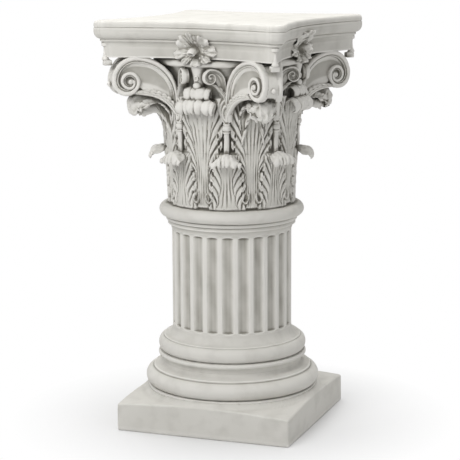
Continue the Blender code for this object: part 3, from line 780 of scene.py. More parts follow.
@dataclass
class LeafWall:
    """The bell with the bodies of both rows of leaves carved on it, as radius over angle and height."""

    low: float = 0.3320
    parting: float = 0.4180
    high: float = 0.4960
    lower_rows: int = 93
    upper_rows: int = 85
    columns: int = 720
    hook_radius: float = 0.0046
    hook_place: tuple = (0.0268, 0.3550)
    hook_lift: float = 0.0078
    hook_pit: float = 0.0010
    hook_top: tuple = (0.3560, 0.3660)
    wobble: float = 0.0003

    def bell(self, z: Array) -> Array:
        """Radius of the bare bell, which leans in a little towards its foot."""
        return between(z, (self.low, 0.4400, 0.5400), (0.0900, 0.0908, 0.0960))

    def hooks(self, x: Array, z: Array) -> Array:
        """Loops at the lower corners of the lower leaves: a raised tall ring about a small pit.

        Args:
            x: Distance from the leaf's middle.
            z: Height.

        Returns:
            Metres above the bell.
        """
        distance = np.hypot(np.abs(x) - self.hook_place[0], 0.50 * (z - self.hook_place[1]))
        ring = self.hook_lift * bell_curve(distance, self.hook_radius, 0.0013)
        return ring - self.hook_pit * bell_curve(distance, 0.0, 0.0015)

    def radius(self, angle: Array, z: Array) -> Array:
        """Radius of the carved wall: the bell plus the highest of the overlapping reliefs.

        Slow unevenness along the wall makes some cuts deeper than others.

        Args:
            angle: Angle from +X.
            z: Height.

        Returns:
            Distance from the axis.
        """
        bell = self.bell(z)
        step = math.radians(45.0)
        to_stem = ((angle + step / 2) / step - np.round((angle + step / 2) / step)) * step
        to_leaf = (angle / step - np.round(angle / step)) * step
        foot = ease(z, self.low + 0.0020, self.low + 0.0150)
        slow = uneven(around_axis(CARVED_RADIUS, angle, 0.35 * z), 0.0160)
        force = foot * np.clip(0.80 + 0.75 * slow, 0.10, 1.30)
        lower = LOWER_RELIEF.height(to_stem * CARVED_RADIUS, z, force)
        hook = self.hooks(to_stem * CARVED_RADIUS, z) * (1.0 - ease(z, *self.hook_top))
        upper = UPPER_RELIEF.height(to_leaf * CARVED_RADIUS, z, force)
        return bell + np.maximum(np.maximum(lower, hook), np.maximum(upper, 0.0))

    def part(self, low: float, high: float, rows: int) -> Surface:
        """One height of the wall as a closed drum.

        Args:
            low: Height at which it starts.
            high: Height at which it ends.
            rows: Points up it.

        Returns:
            The drum.
        """
        angle = np.linspace(0.0, math.tau, self.columns, endpoint=False)[None, :]
        height = np.linspace(low, high, rows)[:, None]
        return Surface(around_axis(self.radius(angle, height), angle, height))

    def build(self) -> list:
        """Carve the wall of the lower and of the upper row."""
        lower, upper = Carving("lower_leaf_bodies", self.wobble), Carving("upper_leaf_bodies", self.wobble)
        lower.add(self.part(self.low, self.parting, self.lower_rows))
        upper.add(self.part(self.parting, self.high, self.upper_rows))
        return [lower, upper]


def leaf_grid(rows: int, columns: int) -> tuple:
    """Shares along a leaf and across it, the latter closer together at its sides: u = sin(pi s / 2)."""
    return (np.linspace(0.0, 1.0, rows)[:, None],
            np.sin(0.5 * math.pi * np.linspace(-1.0, 1.0, columns))[None, :])


def leaf_rim(v: Array, u: Array) -> Array:
    """How full a leaf is: 1 inside, closing to 0 at its sides and its tip as steep ovals do."""
    return (1.0 - np.abs(u) ** 6) ** 0.5 * (1.0 - v ** 14) ** 0.5


def leaf_ribs(v: Array, u: Array, width: Array, cut: tuple, fade: tuple) -> Array:
    """Cuts between the ribs that run up a leaf.

    Args:
        v: Shares along the leaf.
        u: Shares across it.
        width: Half width of the leaf.
        cut: Depth and width of a cut.
        fade: Shares along the leaf between which the cuts die out.

    Returns:
        Metres, below zero in a cut.
    """
    half_count = 3.5
    return -cut[0] * groove(to_line(half_count * u) * width / half_count, cut[1]) * (1.0 - ease(v, *fade))


@dataclass
class LeafHead:
    """The free upper part of a leaf: it leaves the bell, bends outwards and rolls over.

    Attributes:
        start: Distance from the axis and height at which the head leaves the bell.
        lean: Heading at the start, in degrees from straight up.
        runs: Straight and round runs of its middle line.
        places: Shares of the length at which the half widths are given.
        widths: Half widths.
        thickness: Half thickness at the start and at the tip.
        crown: How far the sides droop.
        lobes: Number of lobes across the tip.
        notch: How much shorter the tip is between lobes.
        furrow: Depth of the furrows between lobes.
        level: Share of the droop that is lost again towards the tip.
        smooth: Share of the length that stays free of furrows.
        warp: How unevenly the lobes are spaced.
        rows: Points along the head.
        columns: Points across it.
    """

    start: tuple
    lean: float
    runs: tuple
    places: tuple
    widths: tuple
    thickness: tuple
    crown: float
    lobes: int
    notch: float
    furrow: float
    level: float = 0.0
    smooth: float = 0.05
    warp: float = 0.10
    rows: int = 58
    columns: int = 38

    def surface(self) -> Surface:
        """The head facing +X.

        The middle line runs in the plane of the leaf. Across it the width is wrapped round the
        axis, and the sides droop as crown * |u|^1.6. The lobes are |sin|^0.38 across the tip, they
        shorten and furrow it between them, and the thickness closes to an edge all round.
        """
        v, u = leaf_grid(self.rows, self.columns)
        spread = u + self.warp * np.sin(5.0 * u + 1.0) + 1.0
        lobe = np.abs(np.sin(0.5 * math.pi * self.lobes * spread)) ** 0.38
        place = v * (1.0 - self.notch * (1.0 - lobe) * v ** 2)
        points, heading = path_line(self.start, self.runs, place, math.radians(self.lean))
        width = between(v, self.places, self.widths)
        droop = self.crown * np.abs(u) ** 1.6 * ease(v, 0.15, 0.60)
        droop = droop * (1.0 - self.level * ease(v, 0.60, 1.0))
        angle = u * width / (0.35 * points[..., 0] + 0.65 * self.start[0])
        middle = around_axis(points[..., 0], angle, points[..., 1] - droop)
        normal = around_axis(np.cos(heading), angle, -np.sin(heading))
        normal = normal / np.linalg.norm(normal, axis=-1, keepdims=True)
        rim = leaf_rim(v, u)
        furrows = self.furrow * (lobe - 0.75) * ease(v, self.smooth, self.smooth + 0.40)
        furrows = furrows * (1.0 - np.abs(u) ** 8)
        ribs = leaf_ribs(v, u, width, (0.0012, 0.0009), (0.50, 0.75))
        body = np.maximum(between(v, (0.0, 1.0), self.thickness) * rim, LEAF_EDGE)
        return sheet(middle, normal, body + (0.8 * furrows + ribs) * rim, body + (furrows + ribs) * rim)


LOWER_HEAD = LeafHead(
    start=(0.0930, 0.4000), lean=4.0,
    runs=((0.0090, 0.0), bend(0.0105, 94), (0.0075, 0.0), bend(0.0080, 64), (0.0070, 0.0),
          bend(0.0040, 60)),
    places=(0.0, 0.3, 0.6, 0.85, 1.0), widths=(0.0100, 0.0110, 0.0160, 0.0195, 0.0185),
    thickness=(0.0020, 0.0022), crown=0.0100,
    lobes=6, notch=0.14, furrow=0.0036, level=0.95, smooth=0.50)
FACE_HEAD = LeafHead(
    start=(0.0945, 0.4400), lean=10.0,
    runs=((0.0490, 0.0), bend(0.0100, 190), bend(0.0075, 70)),
    places=(0.0, 0.45, 0.62, 0.8, 1.0), widths=(0.0150, 0.0215, 0.0255, 0.0270, 0.0240),
    thickness=(0.0018, 0.0020), crown=0.0020,
    lobes=7, notch=0.19, furrow=0.0038, warp=0.12, rows=64, columns=56)
CURL_HEAD = LeafHead(
    start=(0.0945, 0.4780), lean=4.0,
    runs=((0.0270, 0.0), bend(0.0095, 195), bend(0.0075, 50)),
    places=(0.0, 0.4, 0.7, 1.0), widths=(0.0110, 0.0160, 0.0195, 0.0180),
    thickness=(0.0018, 0.0022), crown=0.0005,
    lobes=4, notch=0.17, furrow=0.0036, warp=0.14, rows=52, columns=36)


@dataclass
class CornerLeaf:
    """The large leaf tip under each pair of scrolls: it arches out, sags at both sides and rolls under.

    Attributes:
        ridge_start: Distance from the axis and height at which its middle line leaves the bell.
        ridge_lean: Heading of the middle line there, in degrees from straight up.
        ridge_runs: Straight and round runs of the middle line.
        brim_start: The same for its two side edges.
        brim_lean: Heading of the side edges at their start.
        brim_runs: Straight and round runs of the side edges.
        places: Shares of the length at which the half widths are given.
        widths: Half widths.
        lobes: Number of lobes across the tip.
        side_lobes: Number of lobes along each side.
        thick: Half thickness.
        carved: Depth of all carving, as a share.
        wave: How far the lobes along the sides stand up.
        furrow: Depth of the furrows in the tip.
    """

    ridge_start: tuple = (0.0935, 0.4840)
    ridge_lean: float = 25.0
    ridge_runs: tuple = (bend(0.0340, 75), (0.0190, 0.0), bend(0.0110, 85), (0.0110, 0.0), bend(0.0090, 60),
                         bend(0.0060, 50))
    brim_start: tuple = (0.1000, 0.4520)
    brim_lean: float = 10.0
    brim_runs: tuple = ((0.0205, 0.0), bend(0.0200, 78), bend(0.0220, 22), (0.0130, 0.0), bend(0.0060, 60))
    places: tuple = (0.0, 0.2, 0.45, 0.75, 1.0)
    widths: tuple = (0.0200, 0.0225, 0.0210, 0.0185, 0.0155)
    lobes: int = 6
    side_lobes: int = 6
    thick: float = 0.0024
    carved: float = 1.0
    wave: float = 0.0040
    furrow: float = 0.0056

    def surface(self, rows: int = 84, columns: int = 50) -> Surface:
        """The tip facing +X, worked out between its middle line and its side edges.

        A point at share v along and u across lies at ridge * (1 - |u|^1.7) + brim * |u|^1.7, turned
        about the axis by the half width. Ribs run up its middle and die out, the sides are waved
        and scalloped by lobes, and the tip is furrowed and cut between its own lobes.

        Args:
            rows: Points along the tip.
            columns: Points across it.

        Returns:
            The tip as one closed sheet.
        """
        v, u = leaf_grid(rows, columns)
        lobe = np.abs(np.sin(0.5 * math.pi * self.lobes * (u + 0.06 * np.sin(5.0 * u) + 1.0))) ** 0.4
        place = v * (1.0 - 0.15 * (1.0 - lobe) * v ** 3)
        ridge = path_line(self.ridge_start, self.ridge_runs, place, math.radians(self.ridge_lean))[0]
        brim = path_line(self.brim_start, self.brim_runs, place, math.radians(self.brim_lean))[0]
        sag = np.broadcast_to(np.abs(u) ** 1.7, place.shape)[..., None]
        line = ridge * (1.0 - sag) + brim * sag
        side = np.abs(np.sin(math.pi * self.side_lobes * (v - 0.10 * np.abs(u)))) ** 0.6
        width = between(v, self.places, self.widths) * (1.0 - 0.12 * (1.0 - side) * ease(v, 0.15, 0.30))
        angle = u * width / (0.35 * line[..., 0] + 0.065)
        middle = around_axis(line[..., 0], angle, line[..., 1])
        normal = grid_normals(middle, False)
        ribs = leaf_ribs(v, u, width, (0.0015, 0.0010), (0.40, 0.62))
        wave = self.wave * (side - 0.6) * ease(np.abs(u), 0.40, 0.80) * ease(v, 0.15, 0.35)
        furrows = (self.furrow * (lobe - 0.7) + 0.0005 * uneven(middle, 0.0110)) * ease(v, 0.48, 0.70)
        relief = (ribs + wave + furrows) * (1.0 - np.abs(u) ** 10) * self.carved
        body = np.maximum(self.thick * leaf_rim(v, u), LEAF_EDGE)
        return sheet(middle, normal, body + relief, body - relief)


CORNER_CORE = CornerLeaf(
    ridge_start=(0.0935, 0.4760),
    ridge_runs=(bend(0.0330, 75), (0.0110, 0.0), bend(0.0110, 95), (0.0060, 0.0)),
    brim_start=(0.0985, 0.4300), brim_lean=14.0,
    brim_runs=((0.0300, 0.0), bend(0.0190, 76), bend(0.0200, 35), (0.0040, 0.0)),
    widths=(0.0170, 0.0150, 0.0130, 0.0110, 0.0080), thick=0.0030, carved=0.3)


@dataclass
class LeafHeads:
    """All the free leaf tips, row by row."""

    def build(self) -> list:
        """Set each kind of head round the bell."""
        lower, face = Carving("lower_leaf_tips", 0.0007), Carving("face_leaf_tips", 0.0006)
        corner = Carving("corner_leaf_tips", 0.0009)
        lower.add(LOWER_HEAD.surface(), STEM_TURNS)
        face.add(FACE_HEAD.surface(), QUARTERS)
        face.add(CURL_HEAD.surface(), QUARTERS)
        corner.add(CornerLeaf().surface(), CORNERS)
        corner.add(CORNER_CORE.surface(44, 26), CORNERS)
        return [lower, face, corner]


@dataclass
class Scroll:
    """A scroll that rises from a stem beside the bell, arches over and coils.

    Its outline lies in an upright plane that starts at the stem and leans towards the corner or
    the middle of the side. Distances in that plane are measured out from the stem.

    Attributes:
        start: Height at which the rim starts.
        straight: Length of the upright foot.
        radii: Radii of the quarter turns.
        lean: Angle of the plane to the corner's or side's own upright plane.
        rim: Width of the rim at its foot and at the eye.
        raise_by: How far the rim stands out of the web.
        web_depth: How far the web is dished.
        frill: Points of the web's free lower edge.
        thick: Thickness behind the web.
        web_runs: Number of runs that the web follows.
        stem_radius: Distance of the stem from the axis.
        stem_angle: Angle of the stem to the corner's or side's upright plane.
    """

    start: float
    straight: float
    radii: tuple
    lean: float
    rim: tuple
    raise_by: float
    web_depth: float
    frill: tuple
    thick: float
    web_runs: int = 5
    stem_radius: float = 0.1000
    stem_angle: float = math.radians(22.5)

    @property
    def runs(self) -> list:
        """The foot and the quarter turns as path runs."""
        return [(self.straight, 0.0)] + [bend(radius, 90.0) for radius in self.radii]

    def place(self, out: Array, up: Array, offset: Array) -> Array:
        """Set plane points beside the bell, offset out of the plane away from the middle.

        Args:
            out: Distances out from the stem.
            up: Heights.
            offset: Distances out of the plane.

        Returns:
            The points in space.
        """
        x0 = self.stem_radius * math.cos(self.stem_angle)
        y0 = self.stem_radius * math.sin(self.stem_angle)
        cos, sin = math.cos(self.lean), math.sin(self.lean)
        out, up, offset = np.broadcast_arrays(out, up, offset)
        return np.stack([x0 + out * cos + offset * sin, y0 - out * sin + offset * cos, up], axis=-1)

    def rim_surface(self, rows: int = 160) -> Surface:
        """The rim: a section carried along the coil, getting narrower towards the eye.

        Across the section a broad round band falls to a cut line and a fine bead beside it.

        Args:
            rows: Points along the coil.

        Returns:
            The rim as one closed tube.
        """
        share = np.linspace(0.0, 1.0, rows)
        points, heading = path_line((0.0, self.start), self.runs, share)
        wide, narrow = self.rim
        width = between(share, (0.0, 0.62, 0.80, 1.0), (wide * 0.8, wide, wide * 0.72, narrow))
        section = np.array([
            (0.00, -1.6), (0.00, 0.1), (0.03, 0.45), (0.10, 0.80), (0.22, 0.96), (0.36, 1.00), (0.50, 0.93),
            (0.60, 0.72), (0.66, 0.40), (0.70, 0.12), (0.74, 0.10), (0.78, 0.36), (0.84, 0.50), (0.90, 0.38),
            (0.95, 0.00), (1.00, -0.7), (1.00, -1.6)])
        across = section[None, :, 0] * width[:, None]
        lift = self.raise_by * np.minimum(1.0, 0.25 + 12.0 * (1.0 - share))[:, None]
        offset = section[None, :, 1] * lift
        flat = points[:, None] + inward(heading)[:, None] * across[..., None]
        return Surface(self.place(flat[..., 0], flat[..., 1], offset))

    def eye_surface(self) -> Surface:
        """A small dome where the coil ends: radius times (cos, sin) rings rising to a cap."""
        points, heading = path_line((0.0, self.start), self.runs, np.array([1.0]))
        centre = points[0] + inward(heading)[0] * self.rim[1] * 0.5
        angle = np.linspace(0.0, math.tau, 24, endpoint=False)[None, :]
        tilt = np.radians(np.linspace(-40.0, 80.0, 9))[:, None]
        size = self.rim[1] * 0.62
        return Surface(self.place(centre[0] + size * np.cos(tilt) * np.cos(angle),
                                  centre[1] + size * np.cos(tilt) * np.sin(angle),
                                  self.raise_by * 1.05 * np.sin(tilt)))

    def web_surface(self, rows: int = 60, columns: int = 16) -> Surface:
        """The dished web: straight lines from the outer edge to the free edge and then the eye.

        Args:
            rows: Points along the outer edge.
            columns: Points from edge to edge.

        Returns:
            The web as one closed piece.
        """
        length = sum(run[0] for run in self.runs[:self.web_runs]) / sum(run[0] for run in self.runs)
        share = np.linspace(0.0, length, rows)
        edge, heading = path_line((0.0, self.start), self.runs, share)
        edge = edge + inward(heading) * self.rim[0] * 0.3
        frill = np.array(self.frill)
        knots = np.linspace(0.0, 1.0, len(frill))
        inner = np.stack([np.interp(share / length, knots, frill[:, k]) for k in (0, 1)], axis=-1)
        t = np.linspace(0.0, 1.0, columns)[None, :, None]
        flat = edge[:, None] * (1 - t) + inner[:, None] * t
        dish = -self.web_depth * np.sin(math.pi * np.clip(t[..., 0] * 1.05, 0, 1)) ** 0.7
        return two_faced(self.place(flat[..., 0], flat[..., 1], dish),
                         self.place(flat[..., 0], flat[..., 1], np.full(dish.shape, -self.thick)))

    def frill_surface(self, low: tuple, high: tuple, width: float, waves: int, rows: int = 60) -> Surface:
        """A leafy border: a ribbed strip along a bowed line, with a scalloped free edge.

        Args:
            low: First point of the strip's root line, out and up.
            high: Last point.
            width: How far the free edge stands from the root line.
            waves: Number of scallops.
            rows: Points along the strip.

        Returns:
            The strip as a thin closed sheet on the plane.
        """
        v = np.linspace(0.0, 1.0, rows)[:, None]
        t = np.linspace(0.0, 1.0, 14)[None, :]
        bow = 0.16 * math.dist(low, high) * np.sin(math.pi * v)
        run = np.array([high[0] - low[0], high[1] - low[1]]) / math.dist(low, high)
        wave = np.abs(np.sin(math.pi * waves * v)) ** 0.6
        reach = width * t * (0.78 + 0.22 * wave) * (0.35 + 0.65 * np.sin(math.pi * (0.12 + 0.8 * v)))
        root = np.array(low)[None, None] + run * (v * math.dist(low, high))[..., None]
        normal = np.array([-run[1], run[0]])
        flat = root + normal * (bow + reach)[..., None]
        lines = -0.0012 * groove(to_line(3.0 * t) / 3.0 * width, 0.0006) * (1.0 - ease(t, 0.70, 0.80))
        ruffle = 0.0016 * (wave - 0.6) * ease(t, 0.45, 0.9)
        offset = 0.0026 + 0.0018 * np.sin(math.pi * t) ** 0.7 + lines + ruffle
        return two_faced(self.place(flat[..., 0], flat[..., 1], offset),
                         self.place(flat[..., 0], flat[..., 1], np.full(offset.shape, -0.0030)))


VOLUTE = Scroll(
    start=0.4659, straight=0.0305,
    radii=(0.0618, 0.0360, 0.0218, 0.0200, 0.0155, 0.0135, 0.0130, 0.0095, 0.0065, 0.0045),
    lean=math.radians(16.6), rim=(0.0106, 0.0070), raise_by=0.0036, web_depth=0.0034,
    frill=((0.0050, 0.4660), (0.0050, 0.4800), (0.0161, 0.4970), (0.0322, 0.5040), (0.0514, 0.5080),
           (0.0620, 0.5160), (0.0690, 0.5216), (0.0700, 0.5216), (0.0700, 0.5216)),
    thick=0.0080)
HELIX = Scroll(
    start=0.4700, straight=0.0500, radii=(0.0232, 0.0125, 0.0105, 0.0090, 0.0070, 0.0050, 0.0035),
    lean=math.radians(39.6), rim=(0.0050, 0.0034), raise_by=0.0024, web_depth=0.0018,
    frill=((0.0050, 0.4740), (0.0060, 0.5000), (0.0120, 0.5170), (0.0190, 0.5280), (0.0230, 0.5320),
           (0.0235, 0.5325), (0.0235, 0.5325)),
    thick=0.0080)


@dataclass
class CornerScrolls:
    """The pair of large scrolls at each corner and what stands between their rims.

    Attributes:
        front_width: Width of the strip between the rims below which it has no valley.
        valley: Depth of the valley, as a share of how far the rims have parted.
        stretch: Shares of the coil between which the strip runs.
        depth: Thickness of the strip.
        panel_low: Height at which the sunk panel starts.
        panel_high: Height at which it ends.
        panel_sunk: How far the panel is sunk.
        leaf_low: Where the leafy border starts in the scroll's plane.
        leaf_high: Where it ends.
        leaf_width: Its width.
        leaf_waves: Number of its scallops.
    """

    front_width: float = 0.0190
    valley: float = 0.60
    stretch: tuple = (0.12, 0.80)
    depth: float = 0.0120
    panel_low: float = 0.5225
    panel_high: float = 0.5430
    panel_sunk: float = 0.0016
    leaf_low: tuple = (0.0000, 0.4640)
    leaf_high: tuple = (0.0640, 0.5030)
    leaf_width: float = 0.0120
    leaf_waves: int = 9

    def band(self) -> Surface:
        """The strip between the two rims: it follows the coil's outer edge over the top and down.

        The middle sinks where the scrolls part. In front it has a sunk panel between raised borders.
        """
        share = np.linspace(*self.stretch, 80)
        points, heading = path_line((0.0, VOLUTE.start), VOLUTE.runs[:VOLUTE.web_runs], share)
        edge = points + inward(heading) * 0.0012
        u = np.linspace(-1.0, 1.0, 22)[None, :]
        left = VOLUTE.place(edge[:, 0], edge[:, 1], 0.0)
        out = left[:, None, 0] * np.ones_like(u)
        half = left[:, None, 1]
        parted = np.clip(half - self.front_width / 2, 0.0, None)
        sink = self.valley * parted * (1.0 - u ** 2) * ease(share, 0.15, 0.40)[:, None]
        up = edge[:, None, 1] - sink
        inside = (1.0 - ease(np.abs(u), 0.55, 0.68)) * ease(up, self.panel_low, self.panel_low + 0.0015)
        inside = inside * (1.0 - ease(up, self.panel_high - 0.0015, self.panel_high))
        panel = self.panel_sunk * inside * np.sin(math.pi * ease(share, 0.3, 0.6))[:, None]
        cut = points + inward(heading) * self.depth
        back_out = VOLUTE.place(cut[:, 0], cut[:, 1], 0.0)[:, None, 0] * np.ones_like(u)
        return two_faced(np.stack([out - panel, half * u, up], axis=-1),
                         np.stack([back_out, half * u * 0.9, cut[:, None, 1] - sink], axis=-1))

    def build(self) -> Carving:
        """Set the four pairs at the corners."""
        piece = Carving("corner_scrolls", 0.00025)
        border = VOLUTE.frill_surface(self.leaf_low, self.leaf_high, self.leaf_width, self.leaf_waves)
        for surface in (VOLUTE.rim_surface(), VOLUTE.eye_surface(), VOLUTE.web_surface(), border):
            piece.add(surface, CORNERS, both_sides=True)
        piece.add(self.band(), CORNERS)
        return piece


@dataclass
class SideScrolls:
    """The small pair of scrolls over the middle of each side, with a leafy border below each."""

    leaf_low: tuple = (0.0030, 0.4780)
    leaf_high: tuple = (0.0230, 0.5200)
    leaf_width: float = 0.0070
    leaf_waves: int = 6

    def build(self) -> Carving:
        """Set the pairs on the four sides."""
        piece = Carving("side_scrolls", 0.0002)
        border = HELIX.frill_surface(self.leaf_low, self.leaf_high, self.leaf_width, self.leaf_waves, 36)
        for surface in (HELIX.rim_surface(124), HELIX.eye_surface(), HELIX.web_surface(40, 10), border):
            piece.add(surface, QUARTERS, both_sides=True)
        return piece


def upright_turned(profile: Array, out: float, steps: int = 20) -> Surface:
    """Turn a line of radii and heights round an upright line that stands out from the axis.

    Args:
        profile: Radii and heights.
        out: Distance of the upright line from the column's axis, along +X.
        steps: Points round it.

    Returns:
        The turned form.
    """
    angles = np.linspace(0.0, math.tau, steps, endpoint=False) + math.pi / steps
    points = around_axis(profile[:, :1], angles[None, :], profile[:, 1:])
    return Surface(points + np.array([out, 0.0, 0.0]))


def knob(height: float, radius: float, out: float, rows: int) -> Surface:
    """A ball at a height and a distance out from the axis, turned from half a circle."""
    return upright_turned(arc_line((0.0, height), (radius, radius), -85, 85, rows), out)


@dataclass
class Stems:
    """A stem with a cup and a leafy V between each two upper leaves."""

    out: float = 0.0985
    low: float = 0.4180
    cup: float = 0.4510
    radius: float = 0.0040
    cup_radius: float = 0.0070
    cup_height: float = 0.0105
    calyx_low: float = 0.4620
    calyx_high: float = 0.5000
    calyx_widths: tuple = (0.0042, 0.0090, 0.0130, 0.0165)
    eye_height: float = 0.4790
    eye_size: tuple = (0.0042, 0.0085)
    ridge: float = 0.0010
    eye_depth: float = 0.0035
    swell: float = 0.0050
    depth: float = 0.0090

    def stem(self) -> Surface:
        """The round stem, the cup on it and the ring over the cup."""
        core = self.radius * 0.8
        return upright_turned(fine([
            np.array([(self.radius * 0.9, self.low), (self.radius, self.cup - 0.0030)]),
            arc_line((self.radius, self.cup - 0.0010), (0.0016, 0.0016), -80, 80, 7),
            arc_line((core, self.cup + 0.0055), (self.cup_radius - core, 0.0048), -80, 60, 12),
            np.array([(self.cup_radius * 0.70, self.cup + self.cup_height)]),
            arc_line((core, self.calyx_low), (self.cup_radius * 0.35, 0.0022), -60, 85, 7),
        ], 0.0016), self.out, 16)

    def calyx(self) -> Surface:
        """The leafy V: nested ridges round a teardrop eye, cos of the distance from the eye.

        The distance is the root of (x / half width)^2 + ((z - middle) / half height)^2 of the eye, so
        the ridges are tall ovals, and the outline widens upwards.
        """
        v = np.linspace(0.0, 1.0, 36)[:, None]
        u = np.linspace(-1.0, 1.0, 22)[None, :]
        x, z = np.broadcast_arrays(u * between(v, (0.0, 0.25, 0.6, 1.0), self.calyx_widths),
                                   self.calyx_low + (self.calyx_high - self.calyx_low) * v)
        distance = np.sqrt((x / self.eye_size[0]) ** 2 + ((z - self.eye_height) / self.eye_size[1]) ** 2)
        ridges = self.ridge * np.cos(math.tau * 1.05 * np.clip(distance - 0.25, 0.0, 3.0))
        pit = -self.eye_depth * bell_curve(distance, 0.0, 0.42)
        swell = self.swell * (1 - u ** 4) ** 0.5 * (1.0 - ease(v, 0.60, 1.0) * (1.0 - np.abs(u)))
        out = self.out - 0.0005 + self.swell * v + swell + (ridges + pit) * (1 - u ** 8)
        return two_faced(np.stack([out, x, z], axis=-1),
                         np.stack([np.full(x.shape, self.out - self.depth), x, z], axis=-1))

    def build(self) -> Carving:
        """Set the eight stems."""
        piece = Carving("stems", 0.0003)
        piece.add(self.stem(), STEM_TURNS)
        piece.add(self.calyx(), STEM_TURNS)
        return piece


@dataclass
class BellLip:
    """The plain top of the bell with its round lip, and the stalk up the middle of each side."""

    lip_radius: float = 0.1150
    lip_round: float = 0.0044
    neck_radius: float = 0.0920
    low: float = 0.4900
    lip_low: float = 0.5440
    lip_high: float = 0.5535
    stalk_out: float = 0.1035
    bud_out: float = 0.1090
    bud_height: float = 0.5180
    bud_size: tuple = (0.0064, 0.0058)
    button_out: float = 0.1118
    button_height: float = 0.5283

    def profile(self) -> Array:
        """Radii and heights: a long hollow sweep out to the lip and a round lip."""
        middle = (self.lip_low + self.lip_high) / 2
        edge = self.lip_radius - 0.0050
        return fine([
            arc_line((edge, self.low), (edge - self.neck_radius, self.lip_low - self.low), 180, 100, 24),
            arc_line((self.lip_radius - 0.0040, middle), (self.lip_round, self.lip_high - middle),
                     -80, 80, 12),
            np.array([(0.1040, self.lip_high + 0.0006), (0.1020, BELL_TOP + 0.0030)]),
        ], 0.0020)

    def stalk(self) -> Surface:
        """A trumpet that opens upwards from the small curl to the lip."""
        line = np.array([(0.0050, self.low), (0.0060, 0.5150), (0.0085, 0.5300), (0.0112, 0.5420),
                         (0.0122, 0.5475)])
        return upright_turned(fine([line], 0.0030), self.stalk_out, 16)

    def bud(self) -> Surface:
        """A round bud that sits on the small curl."""
        return upright_turned(arc_line((0.0, self.bud_height), self.bud_size, -85, 85, 12), self.bud_out, 16)

    def button(self) -> Surface:
        """A ring-shaped button on the stalk: an oval ring with a sunk middle, facing outwards."""
        angle = np.linspace(0.0, math.tau, 26, endpoint=False)[None, :]
        rings = np.array([(0.0042, -0.0040), (0.0042, 0.0004), (0.0036, 0.0016), (0.0028, 0.0018),
                          (0.0020, 0.0010), (0.0012, 0.0002), (0.0004, 0.0000)])
        size, lift = rings[:, :1], rings[:, 1:]
        return Surface(np.stack(np.broadcast_arrays(self.button_out + lift, size * np.cos(angle),
                                                    self.button_height + size * np.sin(angle)), axis=-1))

    def build(self) -> Carving:
        """Turn the bell's top and set the stalks."""
        piece = Carving("bell_top")
        piece.add(turned(self.profile(), 160))
        for surface in (self.stalk(), self.bud(), self.button()):
            piece.add(surface, QUARTERS)
        return piece


@dataclass
class Slab:
    """The top slab with four hollowed sides and cut corners."""

    reach: float = 0.2058
    corner: float = 0.0125
    dip: float = 0.0280
    rounding: float = 0.0040
    low: float = BELL_TOP
    fascia_top: float = 0.5730
    hollow_top: float = 0.5800
    fillet_top: float = 0.5835
    line: float = 0.6005
    bow: float = 0.0200
    set_back: float = 0.0090

    def outline(self, inset: Array, count: int = 44) -> Array:
        """Ring of the slab at an inset, with each corner's two edges rounded by a short blend.

        Each side is a parabola, side - dip * (1 - t^2), between its two corner cuts, and the cut
        between two sides bows out a little.

        Args:
            inset: Distance in from the outermost ring, one for each ring.
            count: Points along one side.

        Returns:
            Rings x points x 2.
        """
        reach = self.reach - inset
        side = (self.reach + self.corner) / math.sqrt(2.0) - inset
        end = (reach * math.sqrt(2.0) - side)[:, None]
        t = np.sin(0.5 * math.pi * np.linspace(-1.0, 1.0, count))[None, :]
        along = end * t
        out = side[:, None] - self.dip * (1.0 - t ** 2)
        out = out - self.rounding * 0.30 * ease(np.abs(t), 0.965, 1.0)
        s = np.linspace(0.12, 0.88, 9)[None, :]
        first = np.stack([out[:, -1:], along[:, -1:]], axis=-1)
        last = np.stack([along[:, -1:], out[:, -1:]], axis=-1)
        cut = first * (1 - s[..., None]) + last * s[..., None]
        cut = cut * (1.0 + self.bow * np.sin(math.pi * s))[..., None]
        ring = np.concatenate([np.stack([out, along], axis=-1), cut], axis=1)
        parts = [turn_points(np.concatenate([ring, np.zeros(ring.shape[:2] + (1,))], -1), q)[..., :2]
                 for q in QUARTERS]
        return np.concatenate(parts, axis=1)

    def profile(self) -> Array:
        """Inset and height up the slab's side: face, hollow, fillet, round lip and a cut line."""
        lip = (self.fillet_top + HEIGHT) / 2 - 0.0020
        back = self.set_back
        return fine([
            np.array([(0.0158, self.low), (0.0156, self.low + 0.0008), (0.0140, self.fascia_top - 0.0020)]),
            arc_line((0.0098, self.fascia_top - 0.0010), (0.0042, self.hollow_top - self.fascia_top + 0.0006),
                     0, 88, 12),
            np.array([(back + 0.0004, self.hollow_top + 0.0002), (back, self.hollow_top + 0.0006),
                      (back, self.fillet_top - 0.0008), (back + 0.0004, self.fillet_top - 0.0002)]),
            arc_line((back + 0.0010, lip), (-back - 0.0010, lip - self.fillet_top), -82, -5, 18),
            np.array([(0.0, self.line - 0.0012), (0.0012, self.line - 0.0004), (0.0013, self.line + 0.0002),
                      (0.0003, self.line + 0.0008)]),
            arc_line((0.0050, self.line + 0.0030), (-0.0048, HEIGHT - self.line - 0.0030), 0, 84, 10),
            np.array([(0.0060, HEIGHT)]),
        ], 0.0016)

    def surface(self) -> Surface:
        """Rings up the profile, then the top and the underside as rings shrinking to the middle."""
        profile = self.profile()
        rings = self.outline(profile[:, 0])
        height = np.repeat(profile[:, 1:], rings.shape[1], axis=1)
        shares = np.linspace(1.0, 0.02, 22)[1:, None, None]
        top, under = rings[-1][None] * shares, rings[0][None] * shares[::-3]
        rings = np.concatenate([under, rings, top])
        height = np.concatenate([np.full(under.shape[:2], self.low), height, np.full(top.shape[:2], HEIGHT)])
        return Surface(np.concatenate([rings, height[..., None]], axis=-1), reading=0.9, reaches=(1, 2))

    def build(self) -> Carving:
        """Carve the slab."""
        piece = Carving("top_slab")
        piece.add(self.surface())
        return piece


